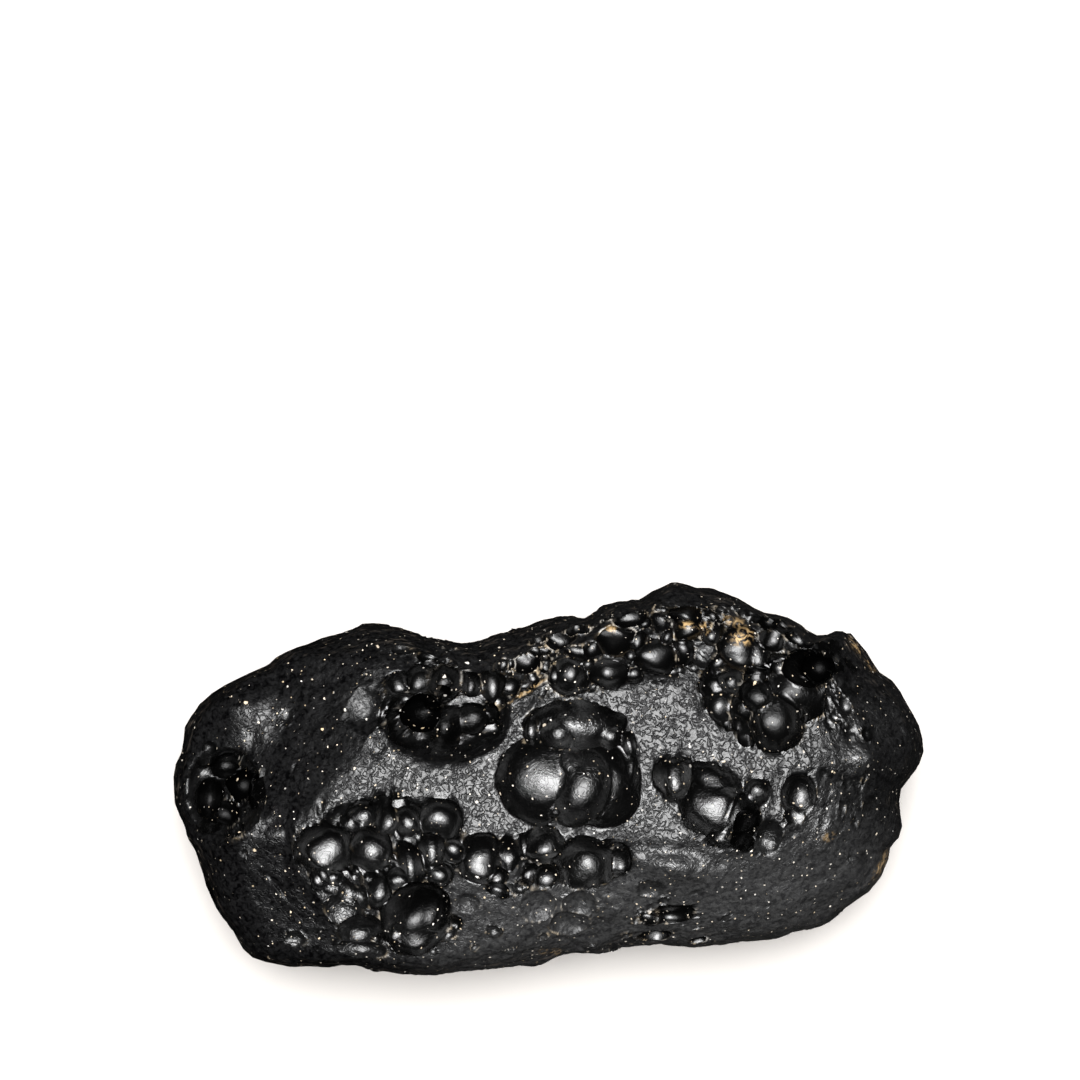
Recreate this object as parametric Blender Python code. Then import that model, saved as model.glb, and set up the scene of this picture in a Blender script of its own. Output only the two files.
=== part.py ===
"""A tektite: one solid piece of black natural glass, pitted by gas bubbles.

The stone lies on a small flat spot, with its length along X and its broad side up.
Everything is written in millimetres and turned into metres where the meshes are made.
"""

import math

import bmesh
import bpy
import numpy as np
from mathutils import Vector, noise

MM = 0.001
NAME = "tektite"

# Driving sizes of the stone
GIRTH_HEIGHT = 9.6
GIRTH_SWAY = 1.2
GIRTH_TURN = 0.9
RISE = 12.2
DROP = 10.2
SWELL_POWER = 2.5
RIM_STEEPNESS = 3
LUMP_SIZE = 7.0
LUMP_HEIGHT = 0.3
LUMP_ROUGHNESS = 1.0
LUMP_SPREAD = 2.0
LUMP_LAYERS = 3

# Widest outline seen from above, anticlockwise from the right end
OUTLINE = (
    (29.4, 0.8), (29.9, 2.2), (29.3, 4.5), (28.4, 6.4), (27.2, 7.8), (26.3, 8.6), (24.8, 10.9),
    (23.9, 11.8), (22.8, 11.7), (21.4, 11.1), (20.9, 11.4), (19.3, 12.6), (17.0, 13.2), (15.0, 14.5),
    (12.2, 15.2), (10.4, 15.6), (9.0, 15.1), (7.4, 14.0), (6.4, 14.0), (4.6, 13.6), (3.0, 12.7),
    (1.5, 12.9), (-0.8, 12.3), (-2.5, 11.8), (-4.0, 11.5), (-5.4, 10.7), (-7.0, 10.5), (-9.8, 11.0),
    (-10.8, 11.6), (-12.4, 12.0), (-14.6, 12.2), (-16.2, 11.7), (-18.5, 10.9), (-21.0, 10.0),
    (-22.7, 8.8), (-25.0, 7.8), (-27.3, 6.2), (-28.7, 4.2), (-29.0, 2.4), (-29.8, 0.4), (-29.8, -2.3),
    (-29.1, -3.5), (-29.0, -4.5), (-28.3, -5.5), (-27.5, -7.6), (-26.8, -10.0), (-25.1, -12.4),
    (-24.0, -14.0), (-22.0, -14.8), (-19.0, -15.0), (-15.5, -14.8), (-13.3, -15.3), (-7.5, -15.6),
    (-3.0, -15.2), (-0.3, -14.8), (1.6, -14.0), (4.0, -14.2), (7.0, -13.6), (10.5, -13.5),
    (15.5, -13.0), (19.5, -12.5), (22.4, -11.8), (24.2, -10.3), (26.0, -8.9), (27.2, -7.0),
    (27.5, -5.5), (28.1, -4.9), (28.4, -3.7), (28.1, -1.5), (28.4, -0.4),
)

# Only the rim has the outline's full detail; further in it is smoothed over this bearing
PLAN_SOFTNESS = 0.35
PLAN_SAMPLES = 9
PLAN_STEPS = 2880
PLAN_POWER = 6

# The level over a place on the plan is found in steps, and the skin's slope from points close by
LEVEL_START = 0.5
LEVEL_STEPS = 8
LEVEL_LIMIT = 0.99
NORMAL_STEP = 0.03
NEARLY_UPRIGHT = 0.9

# Broad faces that flatten the dome: a point x, y, z on each, and its slopes along x and y
FACES = (
    (12.0, 1.0, 20.4, -0.02, -0.10),
    (12.0, -5.9, 21.0, -0.03, 0.42),
    (21.0, 1.0, 20.6, -0.46, -0.12),
    (14.0, 7.5, 20.2, -0.10, -0.42),
    (-9.0, 0.0, 20.3, 0.05, -0.12),
    (-15.2, 0.0, 20.3, 0.40, -0.38),
    (-18.0, -6.5, 19.3, 0.22, 0.36),
    (-4.0, -7.0, 20.4, 0.02, 0.40),
    (0.0, 8.0, 19.6, 0.00, -0.46),
)
FACE_BLEND = 0.5

# Broad rises and dips of the upper side: x, y, half length, half width, turn, height
FORMS = (
    (-8.0, 5.8, 5.2, 3.4, 0, -0.8),
    (17.6, 7.0, 3.8, 3.0, 0, -0.6),
    (-12.8, -6.0, 5.0, 4.2, 0, -0.4),
    (10.2, -6.7, 2.6, 1.1, -6, 1.1),
    (9.6, -5.2, 2.4, 0.5, -4, -0.3),
    (-24.8, 5.9, 2.6, 2.6, 0, 1.6),
    (21.9, -4.9, 1.2, 1.2, 0, 0.25),
    (25.2, 1.8, 1.5, 1.1, 0, 0.90),
    (3.0, 12.0, 5.0, 2.5, 0, -0.8),
)

# Hollows with a clear rim, in which whole clusters of bubbles lie: the last number is the depth
HOLLOWS = (
    (-7.9, 5.3, 5.1, 3.8, -3, 1.7),
    (15.8, 6.6, 4.2, 3.2, -30, 1.2),
    (-12.8, -5.2, 6.4, 4.3, 8, 1.0),
    (-25.3, -0.9, 3.2, 3.5, 0, 2.0),
    (1.4, 1.2, 5.4, 5.0, 0, 0.6),
)
HOLLOW_POWER = 4

# Gas bubbles cut open by the upper side, before the two factors below change them: x, y,
# half length, half width, turn, depth over mean radius
BUBBLE_ROWS = (
    # three big ones that meet in the middle, and what breaks their walls
    (-0.4, 0.5, 3.3, 3.3, 0, 0.6),
    (2.7, -0.3, 3.2, 2.5, 62, 1.05),
    (3.9, 0.0, 3.0, 3.1, 0, 0.5),
    (2.0, 4.5, 3.9, 1.9, 0, 0.8),
    (1.8, 1.3, 0.9, 0.8, 0, 2.35),
    (0.8, 3.9, 1.3, 1.1, 0, 1.85),
    (4.8, 3.7, 0.9, 1.0, 0, 1.65),
    (-1.2, 4.1, 0.7, 1.1, 0, 1.45),
    (6.3, 3.0, 0.55, 1.1, 0, 1.2),
    (6.5, 1.1, 0.45, 1.2, 0, 1.2),
    (0.6, -2.1, 0.5, 0.45, 0, 2.55),
    (2.1, -2.0, 0.5, 0.45, 0, 2.55),
    (3.7, -2.5, 0.6, 0.5, 0, 2.25),
    # the oblong row to their right
    (9.9, 0.5, 1.75, 1.6, 0, 0.85),
    (10.0, 0.1, 1.2, 1.1, 0, 1.6),
    (12.9, 0.4, 2.1, 0.95, -25, 1.0),
    (12.7, -1.6, 2.5, 2.75, 20, 0.95),
    (15.0, -2.9, 1.5, 2.1, 15, 1.2),
    (13.4, -4.0, 1.2, 0.8, 0, 1.3),
    (16.2, -0.7, 1.0, 0.95, 0, 0.9),
    (17.1, -4.3, 1.05, 1.35, 0, 0.7),
    (19.6, -0.9, 1.3, 1.6, 0, 0.85),
    (19.2, -2.5, 0.8, 0.6, 0, 0.8),
    (10.7, 2.4, 0.5, 0.4, 0, 0.5),
    # the cluster at the lower left
    (-17.3, -5.1, 2.1, 1.9, 0, 0.95),
    (-13.8, -5.2, 1.7, 1.65, 0, 1.15),
    (-14.4, -2.6, 1.0, 0.95, 0, 1.0),
    (-12.5, -2.9, 0.95, 1.25, 0, 1.1),
    (-10.9, -3.0, 1.0, 1.15, 0, 1.1),
    (-8.4, -2.7, 1.8, 1.5, 0, 1.3),
    (-9.4, -2.1, 0.75, 0.65, 0, 1.8),
    (-10.7, -6.2, 1.0, 1.6, 20, 1.1),
    (-9.2, -5.3, 1.1, 1.6, 0, 1.1),
    (-7.4, -5.1, 0.9, 0.95, 0, 1.8),
    (-8.4, -7.1, 1.0, 0.9, 0, 1.2),
    (-11.6, -7.5, 0.95, 0.9, 0, 1.1),
    (-13.2, -8.4, 0.85, 1.35, 0, 0.95),
    (-12.3, -4.4, 0.45, 0.4, 0, 0.6),
    (-17.4, -7.3, 0.65, 0.65, 0, 1.0),
    (-16.4, -7.4, 0.65, 0.65, 0, 1.0),
    (-15.6, -7.1, 0.35, 0.35, 0, 1.0),
    (-14.7, -6.7, 0.5, 0.45, 0, 1.1),
    (-14.9, -7.4, 0.5, 0.45, 0, 1.1),
    (-14.1, -7.4, 0.45, 0.45, 0, 1.1),
    (-15.5, -8.6, 0.75, 0.85, 0, 0.7),
    (-14.5, -8.9, 0.65, 0.8, 0, 0.7),
    (-16.0, -10.0, 1.35, 1.2, 0, 0.65),
    (-14.7, -11.7, 1.7, 1.4, 0, 0.75),
    (-13.4, -12.3, 0.6, 0.6, 0, 1.2),
    (-14.6, -13.1, 1.7, 0.7, -8, 0.6),
    (-10.3, -10.6, 2.7, 3.2, -25, 1.1),
    (-10.9, -10.3, 0.8, 1.35, -30, 2.35),
    (-11.6, -11.9, 0.75, 0.9, -30, 2.05),
    (-9.1, -10.3, 1.1, 1.8, -20, 2.15),
    # the lower middle
    (-5.3, -5.8, 1.75, 2.0, 0, 0.95),
    (-3.1, -5.5, 0.95, 1.4, 0, 0.95),
    (-4.0, -7.2, 0.8, 0.7, 0, 0.9),
    (-0.3, -4.8, 1.7, 1.65, 0, 0.9),
    (-1.7, -4.8, 0.6, 1.0, 0, 1.3),
    (2.9, -6.2, 2.35, 1.95, 0, 0.9),
    (5.5, -6.0, 0.95, 1.3, 0, 1.1),
    (4.6, -4.7, 0.6, 0.4, 0, 0.8),
    (-0.2, -7.3, 0.9, 0.8, 0, 0.9),
    (-0.7, -9.8, 1.2, 1.2, 0, 0.45),
    (1.8, -11.3, 1.1, 1.0, 0, 0.4),
    (2.5, -9.6, 1.0, 1.0, 0, 0.5),
    (-4.2, -11.6, 0.5, 0.5, 0, 0.7),
    (8.0, -8.4, 0.9, 0.8, 0, 0.6),
    (7.9, -10.6, 0.8, 0.65, 0, 1.6),
    (9.6, -10.4, 1.5, 0.9, 0, 1.0),
    (10.9, -10.3, 0.6, 0.6, 0, 0.9),
    (8.4, -12.3, 1.1, 0.8, 0, 0.9),
    (11.8, -12.5, 0.6, 0.4, 0, 0.9),
    (-19.8, -12.4, 0.8, 0.6, 0, 0.8),
    (-6.2, -9.4, 0.7, 0.6, 0, 0.5),
    # the cluster at the upper right
    (17.8, 4.7, 1.95, 2.3, 0, 0.95),
    (16.3, 6.8, 1.2, 1.35, 0, 1.25),
    (16.2, 8.2, 0.85, 0.9, 0, 1.3),
    (14.3, 7.9, 1.0, 1.0, 0, 1.1),
    (13.4, 6.0, 1.05, 1.4, 0, 0.8),
    (15.2, 5.8, 1.1, 1.1, 0, 0.9),
    (19.5, 7.3, 2.4, 2.3, 0, 0.95),
    (20.4, 9.0, 1.75, 1.45, 0, 1.7),
    (18.3, 9.2, 1.2, 0.9, 0, 1.2),
    (15.0, 10.4, 1.65, 1.9, 0, 0.8),
    (16.4, 10.1, 0.85, 1.3, 0, 1.0),
    (12.2, 10.1, 0.95, 0.95, 0, 0.6),
    (12.2, 10.0, 0.25, 0.25, 0, 2.8),
    (17.4, 11.1, 1.0, 0.9, 0, 0.9),
    (19.6, 11.0, 1.15, 0.75, 0, 0.9),
    (18.6, 12.3, 0.8, 0.6, 0, 0.8),
    (22.3, 9.3, 0.65, 0.6, 0, 0.9),
    (21.8, 10.7, 0.6, 0.5, 0, 0.8),
    (23.2, 9.2, 0.4, 0.5, 0, 0.9),
    (23.4, 7.3, 0.5, 0.5, 0, 0.7),
    (24.2, 7.2, 0.45, 0.45, 0, 0.7),
    (23.3, 6.1, 0.6, 0.8, 0, 0.7),
    (24.9, 3.8, 0.6, 0.5, 0, 0.8),
    # the upper middle
    (1.6, 8.4, 1.65, 1.45, 0, 0.85),
    (0.5, 8.5, 0.6, 0.9, 0, 1.3),
    (4.8, 8.6, 1.7, 1.2, 0, 0.95),
    (8.5, 10.0, 1.7, 1.45, 0, 0.85),
    (10.6, 10.3, 0.9, 1.25, 0, 0.95),
    (9.4, 11.5, 0.6, 0.8, 0, 1.2),
    (10.7, 12.0, 1.15, 1.0, 0, 0.9),
    (10.7, 13.1, 1.5, 0.8, 0, 0.9),
    (12.9, 11.7, 0.95, 0.95, 0, 1.2),
    (8.8, 12.6, 0.8, 0.8, 0, 0.8),
    (6.3, 12.8, 1.2, 0.8, 0, 0.8),
    (5.2, 11.2, 1.5, 1.3, 0, 0.85),
    (3.5, 10.4, 0.9, 0.8, 0, 0.9),
    (0.9, 11.1, 1.1, 1.0, 0, 0.8),
    (2.4, 11.8, 0.9, 0.7, 0, 0.8),
    (2.4, 10.2, 0.9, 0.7, 0, 0.8),
    (-1.6, 9.3, 1.0, 0.9, 0, 0.9),
    (-3.0, 9.2, 0.6, 0.6, 0, 0.9),
    (6.7, 8.4, 0.7, 0.6, 0, 0.9),
    # the trough at the upper left
    (-14.4, 6.0, 1.3, 1.65, 0, 0.45),
    (-11.7, 7.7, 1.0, 1.2, 0, 1.0),
    (-10.0, 8.0, 0.95, 1.2, 0, 1.0),
    (-8.1, 7.7, 1.15, 1.45, 0, 1.0),
    (-6.0, 7.6, 1.0, 1.0, 0, 1.1),
    (-4.4, 7.6, 1.0, 1.35, 0, 1.1),
    (-3.0, 7.5, 0.8, 0.8, 0, 1.1),
    (-9.9, 5.3, 1.45, 1.35, 0, 1.7),
    (-11.7, 5.1, 1.0, 1.1, 0, 1.3),
    (-12.9, 5.3, 0.5, 1.0, 0, 0.9),
    (-7.9, 4.4, 1.25, 1.45, 0, 1.1),
    (-6.0, 4.9, 1.25, 1.15, 0, 1.1),
    (-4.6, 5.4, 0.8, 0.9, 0, 1.2),
    (-10.3, 3.7, 0.8, 0.75, 0, 0.75),
    (-8.0, 3.2, 1.1, 0.75, 0, 0.75),
    (-5.9, 3.6, 0.9, 0.75, 20, 0.75),
    (-4.4, 4.0, 0.9, 0.8, 30, 0.9),
    (-13.4, 2.9, 0.85, 0.8, 0, 0.4),
    (-11.5, 10.4, 0.8, 0.55, 0, 0.6),
    (-9.5, 9.8, 0.9, 0.5, 0, 0.9),
    (-20.6, 5.0, 0.5, 0.6, 0, 0.6),
    # the pit at the left end
    (-24.0, -0.4, 1.2, 1.2, 0, 2.05),
    (-22.6, -0.4, 0.75, 1.0, 0, 1.8),
    (-26.8, -1.4, 1.0, 1.5, 0, 1.3),
    (-25.3, -2.6, 1.2, 0.9, -20, 1.6),
    (-25.4, 1.2, 1.2, 0.9, 15, 1.3),
    (-26.6, -2.9, 0.4, 0.4, 0, 1.6),
    (-29.0, 1.3, 0.6, 0.7, 0, 0.7),
    (-26.6, 2.5, 0.5, 0.5, 0, 0.8),
)

# The middling mouths are widened by one factor, and every depth is reduced by the other
WIDER = 1.1
WIDER_FROM = 0.6
WIDER_TO = 2.4
SHALLOWER = 0.75

# Bubbles with a smaller mean radius than this are left out of the solid
LEAST_BUBBLE = 0.93

# Bubbles of the sides and the underside are scattered by a seeded draw
HIDDEN_SEED = 11
HIDDEN_COUNT = 34
HIDDEN_LEAST = 0.9
HIDDEN_MOST = 2.6
HIDDEN_TOP = 0.22
HIDDEN_GAP = 1.15
HIDDEN_LIMIT = 4000
HIDDEN_DEPTH = 0.6
HIDDEN_DEPTH_SPREAD = 0.4
SPOT_CLEAR = 5.0
SPOT_HEIGHT = 0.8

# How finely the solids are divided
STONE_SUBDIVISIONS = 4
BIG_BUBBLE = 2.1
BIG_SUBDIVISIONS = 3
SMALL_SUBDIVISIONS = 2
KEPT_SHARE = 0.64
FINE_ABOVE = -0.05

# The block under the ground that cuts the resting spot
GROUND_BLOCK = 80.0

GLASS_COLOUR = (0.012, 0.012, 0.013, 1.0)
GLASS_ROUGHNESS = 0.3
GLASS_IOR = 1.5


def remove_old_objects():
    """Empty the scene that the script is run in."""
    for obj in list(bpy.data.objects):
        bpy.data.objects.remove(obj)


def make_collection(name):
    """Return a new collection in the scene."""
    collection = bpy.data.collections.new(name)
    bpy.context.scene.collection.children.link(collection)
    return collection


def glass_material():
    """Black natural glass, fire-polished inside its bubbles."""
    material = bpy.data.materials.new("black_natural_glass")
    material.use_nodes = True
    shader = material.node_tree.nodes["Principled BSDF"]
    shader.inputs["Base Color"].default_value = GLASS_COLOUR
    shader.inputs["Roughness"].default_value = GLASS_ROUGHNESS
    shader.inputs["IOR"].default_value = GLASS_IOR
    material.diffuse_color = GLASS_COLOUR
    return material


def outline_reach(bearing):
    """Distance from the centre to the outline at each bearing, on a smooth closed curve."""
    points = np.array(OUTLINE)
    turns = np.arctan2(points[:, 1], points[:, 0]) % math.tau
    order = np.argsort(turns)
    turns = turns[order]
    reaches = np.hypot(points[:, 0], points[:, 1])[order]
    count = len(turns)
    bearing = np.asarray(bearing) % math.tau
    after = np.searchsorted(turns, bearing) % count
    before = (after - 1) % count
    span = (turns[after] - turns[before]) % math.tau
    share = ((bearing - turns[before]) % math.tau) / span
    r0 = reaches[(before - 1) % count]
    r1 = reaches[before]
    r2 = reaches[after]
    r3 = reaches[(after + 1) % count]
    slope1 = (r2 - r0) / 2
    slope2 = (r3 - r1) / 2
    square = share * share
    cube = square * share
    return ((2 * cube - 3 * square + 1) * r1 + (cube - 2 * square + share) * slope1
            + (3 * square - 2 * cube) * r2 + (cube - square) * slope2)


BEARINGS = np.linspace(0, math.tau, PLAN_STEPS + 1)
FULL_REACH = outline_reach(BEARINGS)
PLAN_TURNS = np.linspace(-PLAN_SOFTNESS, PLAN_SOFTNESS, PLAN_SAMPLES)
SOFT_REACH = np.mean([outline_reach(BEARINGS + turn) for turn in PLAN_TURNS], axis=0)


def plan_reach(bearing, level):
    """The reach at a level from 0 on the axis to 1 at the rim: only the rim has the full detail."""
    bearing = np.asarray(bearing) % math.tau
    full = np.interp(bearing, BEARINGS, FULL_REACH)
    soft = np.interp(bearing, BEARINGS, SOFT_REACH)
    return soft + (full - soft) * np.asarray(level) ** PLAN_POWER


def lower_of(a, b, blend):
    """The lower of two heights, rounded where they cross."""
    share = np.clip(0.5 + 0.5 * (b - a) / blend, 0, 1)
    return b * (1 - share) + a * share - blend * share * (1 - share)


def place_in_oval(x, y, oval_x, oval_y, half_x, half_y, turn):
    """How far from an oval's middle a place is: 0 in the middle, 1 on its edge."""
    cos_turn = math.cos(math.radians(turn))
    sin_turn = math.sin(math.radians(turn))
    along = (x - oval_x) * cos_turn + (y - oval_y) * sin_turn
    across = (y - oval_y) * cos_turn - (x - oval_x) * sin_turn
    return np.hypot(along / half_x, across / half_y)


def stone_skin(directions):
    """Points of the stone's skin, without its bubbles, in the given directions."""
    d = directions / np.linalg.norm(directions, axis=1, keepdims=True)
    level = np.hypot(d[:, 0], d[:, 1])
    bearing = np.arctan2(d[:, 1], d[:, 0])
    reach = plan_reach(bearing, level) * level ** (2 / SWELL_POWER)
    x = reach * np.cos(bearing)
    y = reach * np.sin(bearing)
    girth = GIRTH_HEIGHT + GIRTH_SWAY * np.cos(2 * bearing - GIRTH_TURN)
    lift = np.abs(d[:, 2]) ** (2 / SWELL_POWER)
    is_upper = d[:, 2] > 0
    dome = girth + RISE * lift
    for face_x, face_y, height, slope_x, slope_y in FACES:
        plane = height + slope_x * (x - face_x) + slope_y * (y - face_y)
        dome = lower_of(dome, np.maximum(plane, girth), FACE_BLEND)
    for form_x, form_y, half_x, half_y, turn, height in FORMS:
        away = place_in_oval(x, y, form_x, form_y, half_x, half_y, turn)
        dome = dome + height * np.exp(-away ** 2)
    for oval_x, oval_y, half_x, half_y, turn, depth in HOLLOWS:
        away = place_in_oval(x, y, oval_x, oval_y, half_x, half_y, turn)
        dome = dome - depth * np.clip(1 - away ** HOLLOW_POWER, 0, 1)
    upper = girth + (dome - girth) * np.clip(lift * RIM_STEEPNESS, 0, 1)
    lower = girth - (DROP + girth - GIRTH_HEIGHT) * lift
    z = np.where(is_upper, upper, lower)
    return np.stack([x, y, z], axis=1)


def lumpy(points, directions):
    """Push points in and out by slow noise."""
    outward = directions / np.linalg.norm(directions, axis=1, keepdims=True)
    lumps = [
        noise.fractal(Vector(p) / LUMP_SIZE, LUMP_ROUGHNESS, LUMP_SPREAD, LUMP_LAYERS)
        for p in points
    ]
    return points + outward * (LUMP_HEIGHT * np.array(lumps))[:, None]


def direction_over(x, y):
    """The direction that meets the upper skin above a place on the plan."""
    bearing = math.atan2(y, x)
    level = LEVEL_START
    for _ in range(LEVEL_STEPS):
        share = math.hypot(x, y) / float(plan_reach(bearing, level))
        level = min(share, LEVEL_LIMIT) ** (SWELL_POWER / 2)
    return np.array([level * math.cos(bearing), level * math.sin(bearing), math.sqrt(1 - level * level)])


def skin_point_and_normal(direction):
    """Where a direction meets the skin, and which way the skin faces there."""
    direction = direction / np.linalg.norm(direction)
    is_upright = abs(direction[2]) >= NEARLY_UPRIGHT
    helper = np.array([1.0, 0.0, 0.0]) if is_upright else np.array([0.0, 0.0, 1.0])
    side = np.cross(direction, helper)
    side /= np.linalg.norm(side)
    other = np.cross(direction, side)
    around = stone_skin(np.array([
        direction,
        direction + NORMAL_STEP * side,
        direction - NORMAL_STEP * side,
        direction + NORMAL_STEP * other,
        direction - NORMAL_STEP * other,
    ]))
    normal = np.cross(around[1] - around[2], around[3] - around[4])
    normal /= np.linalg.norm(normal)
    if normal @ direction < 0:
        normal = -normal
    return around[0], normal


def upper_bubbles():
    """The bubbles of the upper side that are large enough for the solid, as they are cut."""
    found = []
    for x, y, half_length, half_width, turn, depth in BUBBLE_ROWS:
        mean = math.sqrt(half_length * half_width)
        wider = WIDER if WIDER_FROM < mean < WIDER_TO else 1.0
        if mean * wider >= LEAST_BUBBLE:
            found.append((x, y, half_length * wider, half_width * wider, turn, depth * SHALLOWER))
    return found


def hidden_bubbles():
    """Seeded bubbles on the sides and the underside, clear of each other and of the resting spot."""
    rng = np.random.default_rng(HIDDEN_SEED)
    found = []
    for _ in range(HIDDEN_LIMIT):
        direction = rng.normal(size=3)
        direction /= np.linalg.norm(direction)
        radius = HIDDEN_LEAST + (HIDDEN_MOST - HIDDEN_LEAST) * rng.random() ** 2
        depth = HIDDEN_DEPTH + HIDDEN_DEPTH_SPREAD * rng.random()
        if direction[2] > HIDDEN_TOP:
            continue
        spot, normal = skin_point_and_normal(direction)
        over_spot = math.hypot(spot[0] / 2, spot[1]) < SPOT_CLEAR + radius
        if spot[2] - radius < SPOT_HEIGHT and over_spot:
            continue
        if any(np.linalg.norm(spot - other[0]) < HIDDEN_GAP * (radius + other[2]) for other in found):
            continue
        found.append((spot, normal, radius, depth))
        if len(found) == HIDDEN_COUNT:
            break
    return found


def build_stone(collection):
    """The stone's skin as one closed mesh, finer on its upper side."""
    bm = bmesh.new()
    bmesh.ops.create_icosphere(bm, subdivisions=STONE_SUBDIVISIONS, radius=1.0)
    upper_edges = [e for e in bm.edges if min(v.co.z for v in e.verts) > FINE_ABOVE]
    bmesh.ops.subdivide_edges(bm, edges=upper_edges, cuts=1, use_grid_fill=True)
    bmesh.ops.triangulate(bm, faces=bm.faces[:])
    directions = np.array([v.co for v in bm.verts])
    points = lumpy(stone_skin(directions), directions)
    for vert, point in zip(bm.verts, points):
        vert.co = Vector(point) * MM
    bmesh.ops.recalc_face_normals(bm, faces=bm.faces[:])
    mesh = bpy.data.meshes.new(NAME)
    bm.to_mesh(mesh)
    bm.free()
    stone = bpy.data.objects.new(NAME, mesh)
    stone.data.materials.append(glass_material())
    collection.objects.link(stone)
    return stone


def add_cutter(name, bm, collection):
    """Turn a bmesh into a cutter object that is never rendered."""
    mesh = bpy.data.meshes.new(name)
    bm.to_mesh(mesh)
    bm.free()
    cutter = bpy.data.objects.new(name, mesh)
    cutter.display_type = "WIRE"
    cutter.hide_render = True
    collection.objects.link(cutter)
    return cutter


def add_bubble(name, spot, axis, half_length, half_width, turn, depth, collection):
    """A bubble as an ellipsoid sunk into the skin, its mouth of the given half sizes."""
    mean = math.sqrt(half_length * half_width)
    sink = depth * mean
    radius = (mean * mean + sink * sink) / (2 * sink)
    subdivisions = BIG_SUBDIVISIONS if mean > BIG_BUBBLE else SMALL_SUBDIVISIONS
    bm = bmesh.new()
    bmesh.ops.create_icosphere(bm, subdivisions=subdivisions, radius=radius * MM)
    cutter = add_cutter(name, bm, collection)
    along = Vector((math.cos(math.radians(turn)), math.sin(math.radians(turn)), 0.0))
    up = Vector(axis).normalized()
    along = (along - up * along.dot(up)).normalized()
    across = up.cross(along)
    stretch = (half_length / mean, half_width / mean, 1.0)
    centre = Vector(spot) + up * (radius - sink)
    for vert in cutter.data.vertices:
        local = vert.co
        vert.co = (along * local.x * stretch[0] + across * local.y * stretch[1] + up * local.z + centre * MM)


def add_bubbles(collection):
    """Cutters for the bubbles of the upper side, the sides and the underside."""
    for number, row in enumerate(upper_bubbles()):
        x, y, half_length, half_width, turn, depth = row
        spot, normal = skin_point_and_normal(direction_over(x, y))
        axis = normal + np.array([0.0, 0.0, 1.0])
        add_bubble(f"bubble_{number:03d}", spot, axis, half_length, half_width, turn, depth, collection)
    for number, (spot, normal, radius, depth) in enumerate(hidden_bubbles()):
        add_bubble(f"hidden_{number:03d}", spot, normal, radius, radius, 0, depth, collection)


def add_resting_cut(collection):
    """A block whose top is the ground, which cuts the small flat spot under the stone."""
    size = GROUND_BLOCK * MM
    bm = bmesh.new()
    bmesh.ops.create_cube(bm, size=size)
    bmesh.ops.translate(bm, vec=(0.0, 0.0, -size / 2), verts=bm.verts[:])
    add_cutter("resting_cut", bm, collection)


def cut_stone(stone, cutters):
    """Take every cutter away from the stone with one Boolean."""
    boolean = stone.modifiers.new("bubbles", "BOOLEAN")
    boolean.operation = "DIFFERENCE"
    boolean.operand_type = "COLLECTION"
    boolean.collection = cutters
    boolean.solver = "EXACT"
    boolean.use_self = True


def thin_out(stone):
    """Merge the many slivers that the cut leaves, and keep the share of faces that the shape needs."""
    decimate = stone.modifiers.new("thin_out", "DECIMATE")
    decimate.decimate_type = "COLLAPSE"
    decimate.ratio = KEPT_SHARE
    decimate.use_collapse_triangulate = True


def main():
    remove_old_objects()
    stone_collection = make_collection("tektite_stone")
    cutters = make_collection("cutters")
    stone = build_stone(stone_collection)
    add_bubbles(cutters)
    add_resting_cut(cutters)
    cut_stone(stone, cutters)
    thin_out(stone)


main()
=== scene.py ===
# %% [markdown]
# # A tektite
# A tektite is a lump of natural glass, thrown out molten by a meteorite's strike. This one is black,
# about 60 mm long, and full of gas bubbles that time has cut open. Its look comes from three things:
# the smooth cups of the open bubbles with sharp ridges between them, the fine wrinkled skin between
# the cups, and pale grains caught in it. Each is made in turn below.

# %% Load the solid that fixes the size
import math

import bmesh
import bpy
import numpy as np
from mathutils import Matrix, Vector, noise


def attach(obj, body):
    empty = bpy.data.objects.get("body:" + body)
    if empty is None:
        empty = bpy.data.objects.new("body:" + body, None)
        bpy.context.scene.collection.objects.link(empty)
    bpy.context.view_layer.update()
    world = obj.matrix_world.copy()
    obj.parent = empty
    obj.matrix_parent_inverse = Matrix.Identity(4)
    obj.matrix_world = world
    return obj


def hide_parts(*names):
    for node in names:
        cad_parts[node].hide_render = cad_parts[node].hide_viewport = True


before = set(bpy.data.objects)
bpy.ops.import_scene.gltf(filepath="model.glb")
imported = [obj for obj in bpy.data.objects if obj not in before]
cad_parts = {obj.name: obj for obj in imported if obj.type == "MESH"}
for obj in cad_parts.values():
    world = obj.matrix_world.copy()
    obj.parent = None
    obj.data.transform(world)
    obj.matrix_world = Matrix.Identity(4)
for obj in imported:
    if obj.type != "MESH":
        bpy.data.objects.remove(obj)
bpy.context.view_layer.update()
MM = 0.001
UP = np.array([0.0, 0.0, 1.0])

# %% [markdown]
# ## The plain stone
# Before its bubbles, the stone is a pillow: round in plan like the outline below, and swollen in
# height. The outline is kept as points in millimetres, anticlockwise from the right end, and a smooth
# closed curve runs through them. A curve object could hold it too, but a function of the bearing is
# easier to mix with the height.

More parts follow.
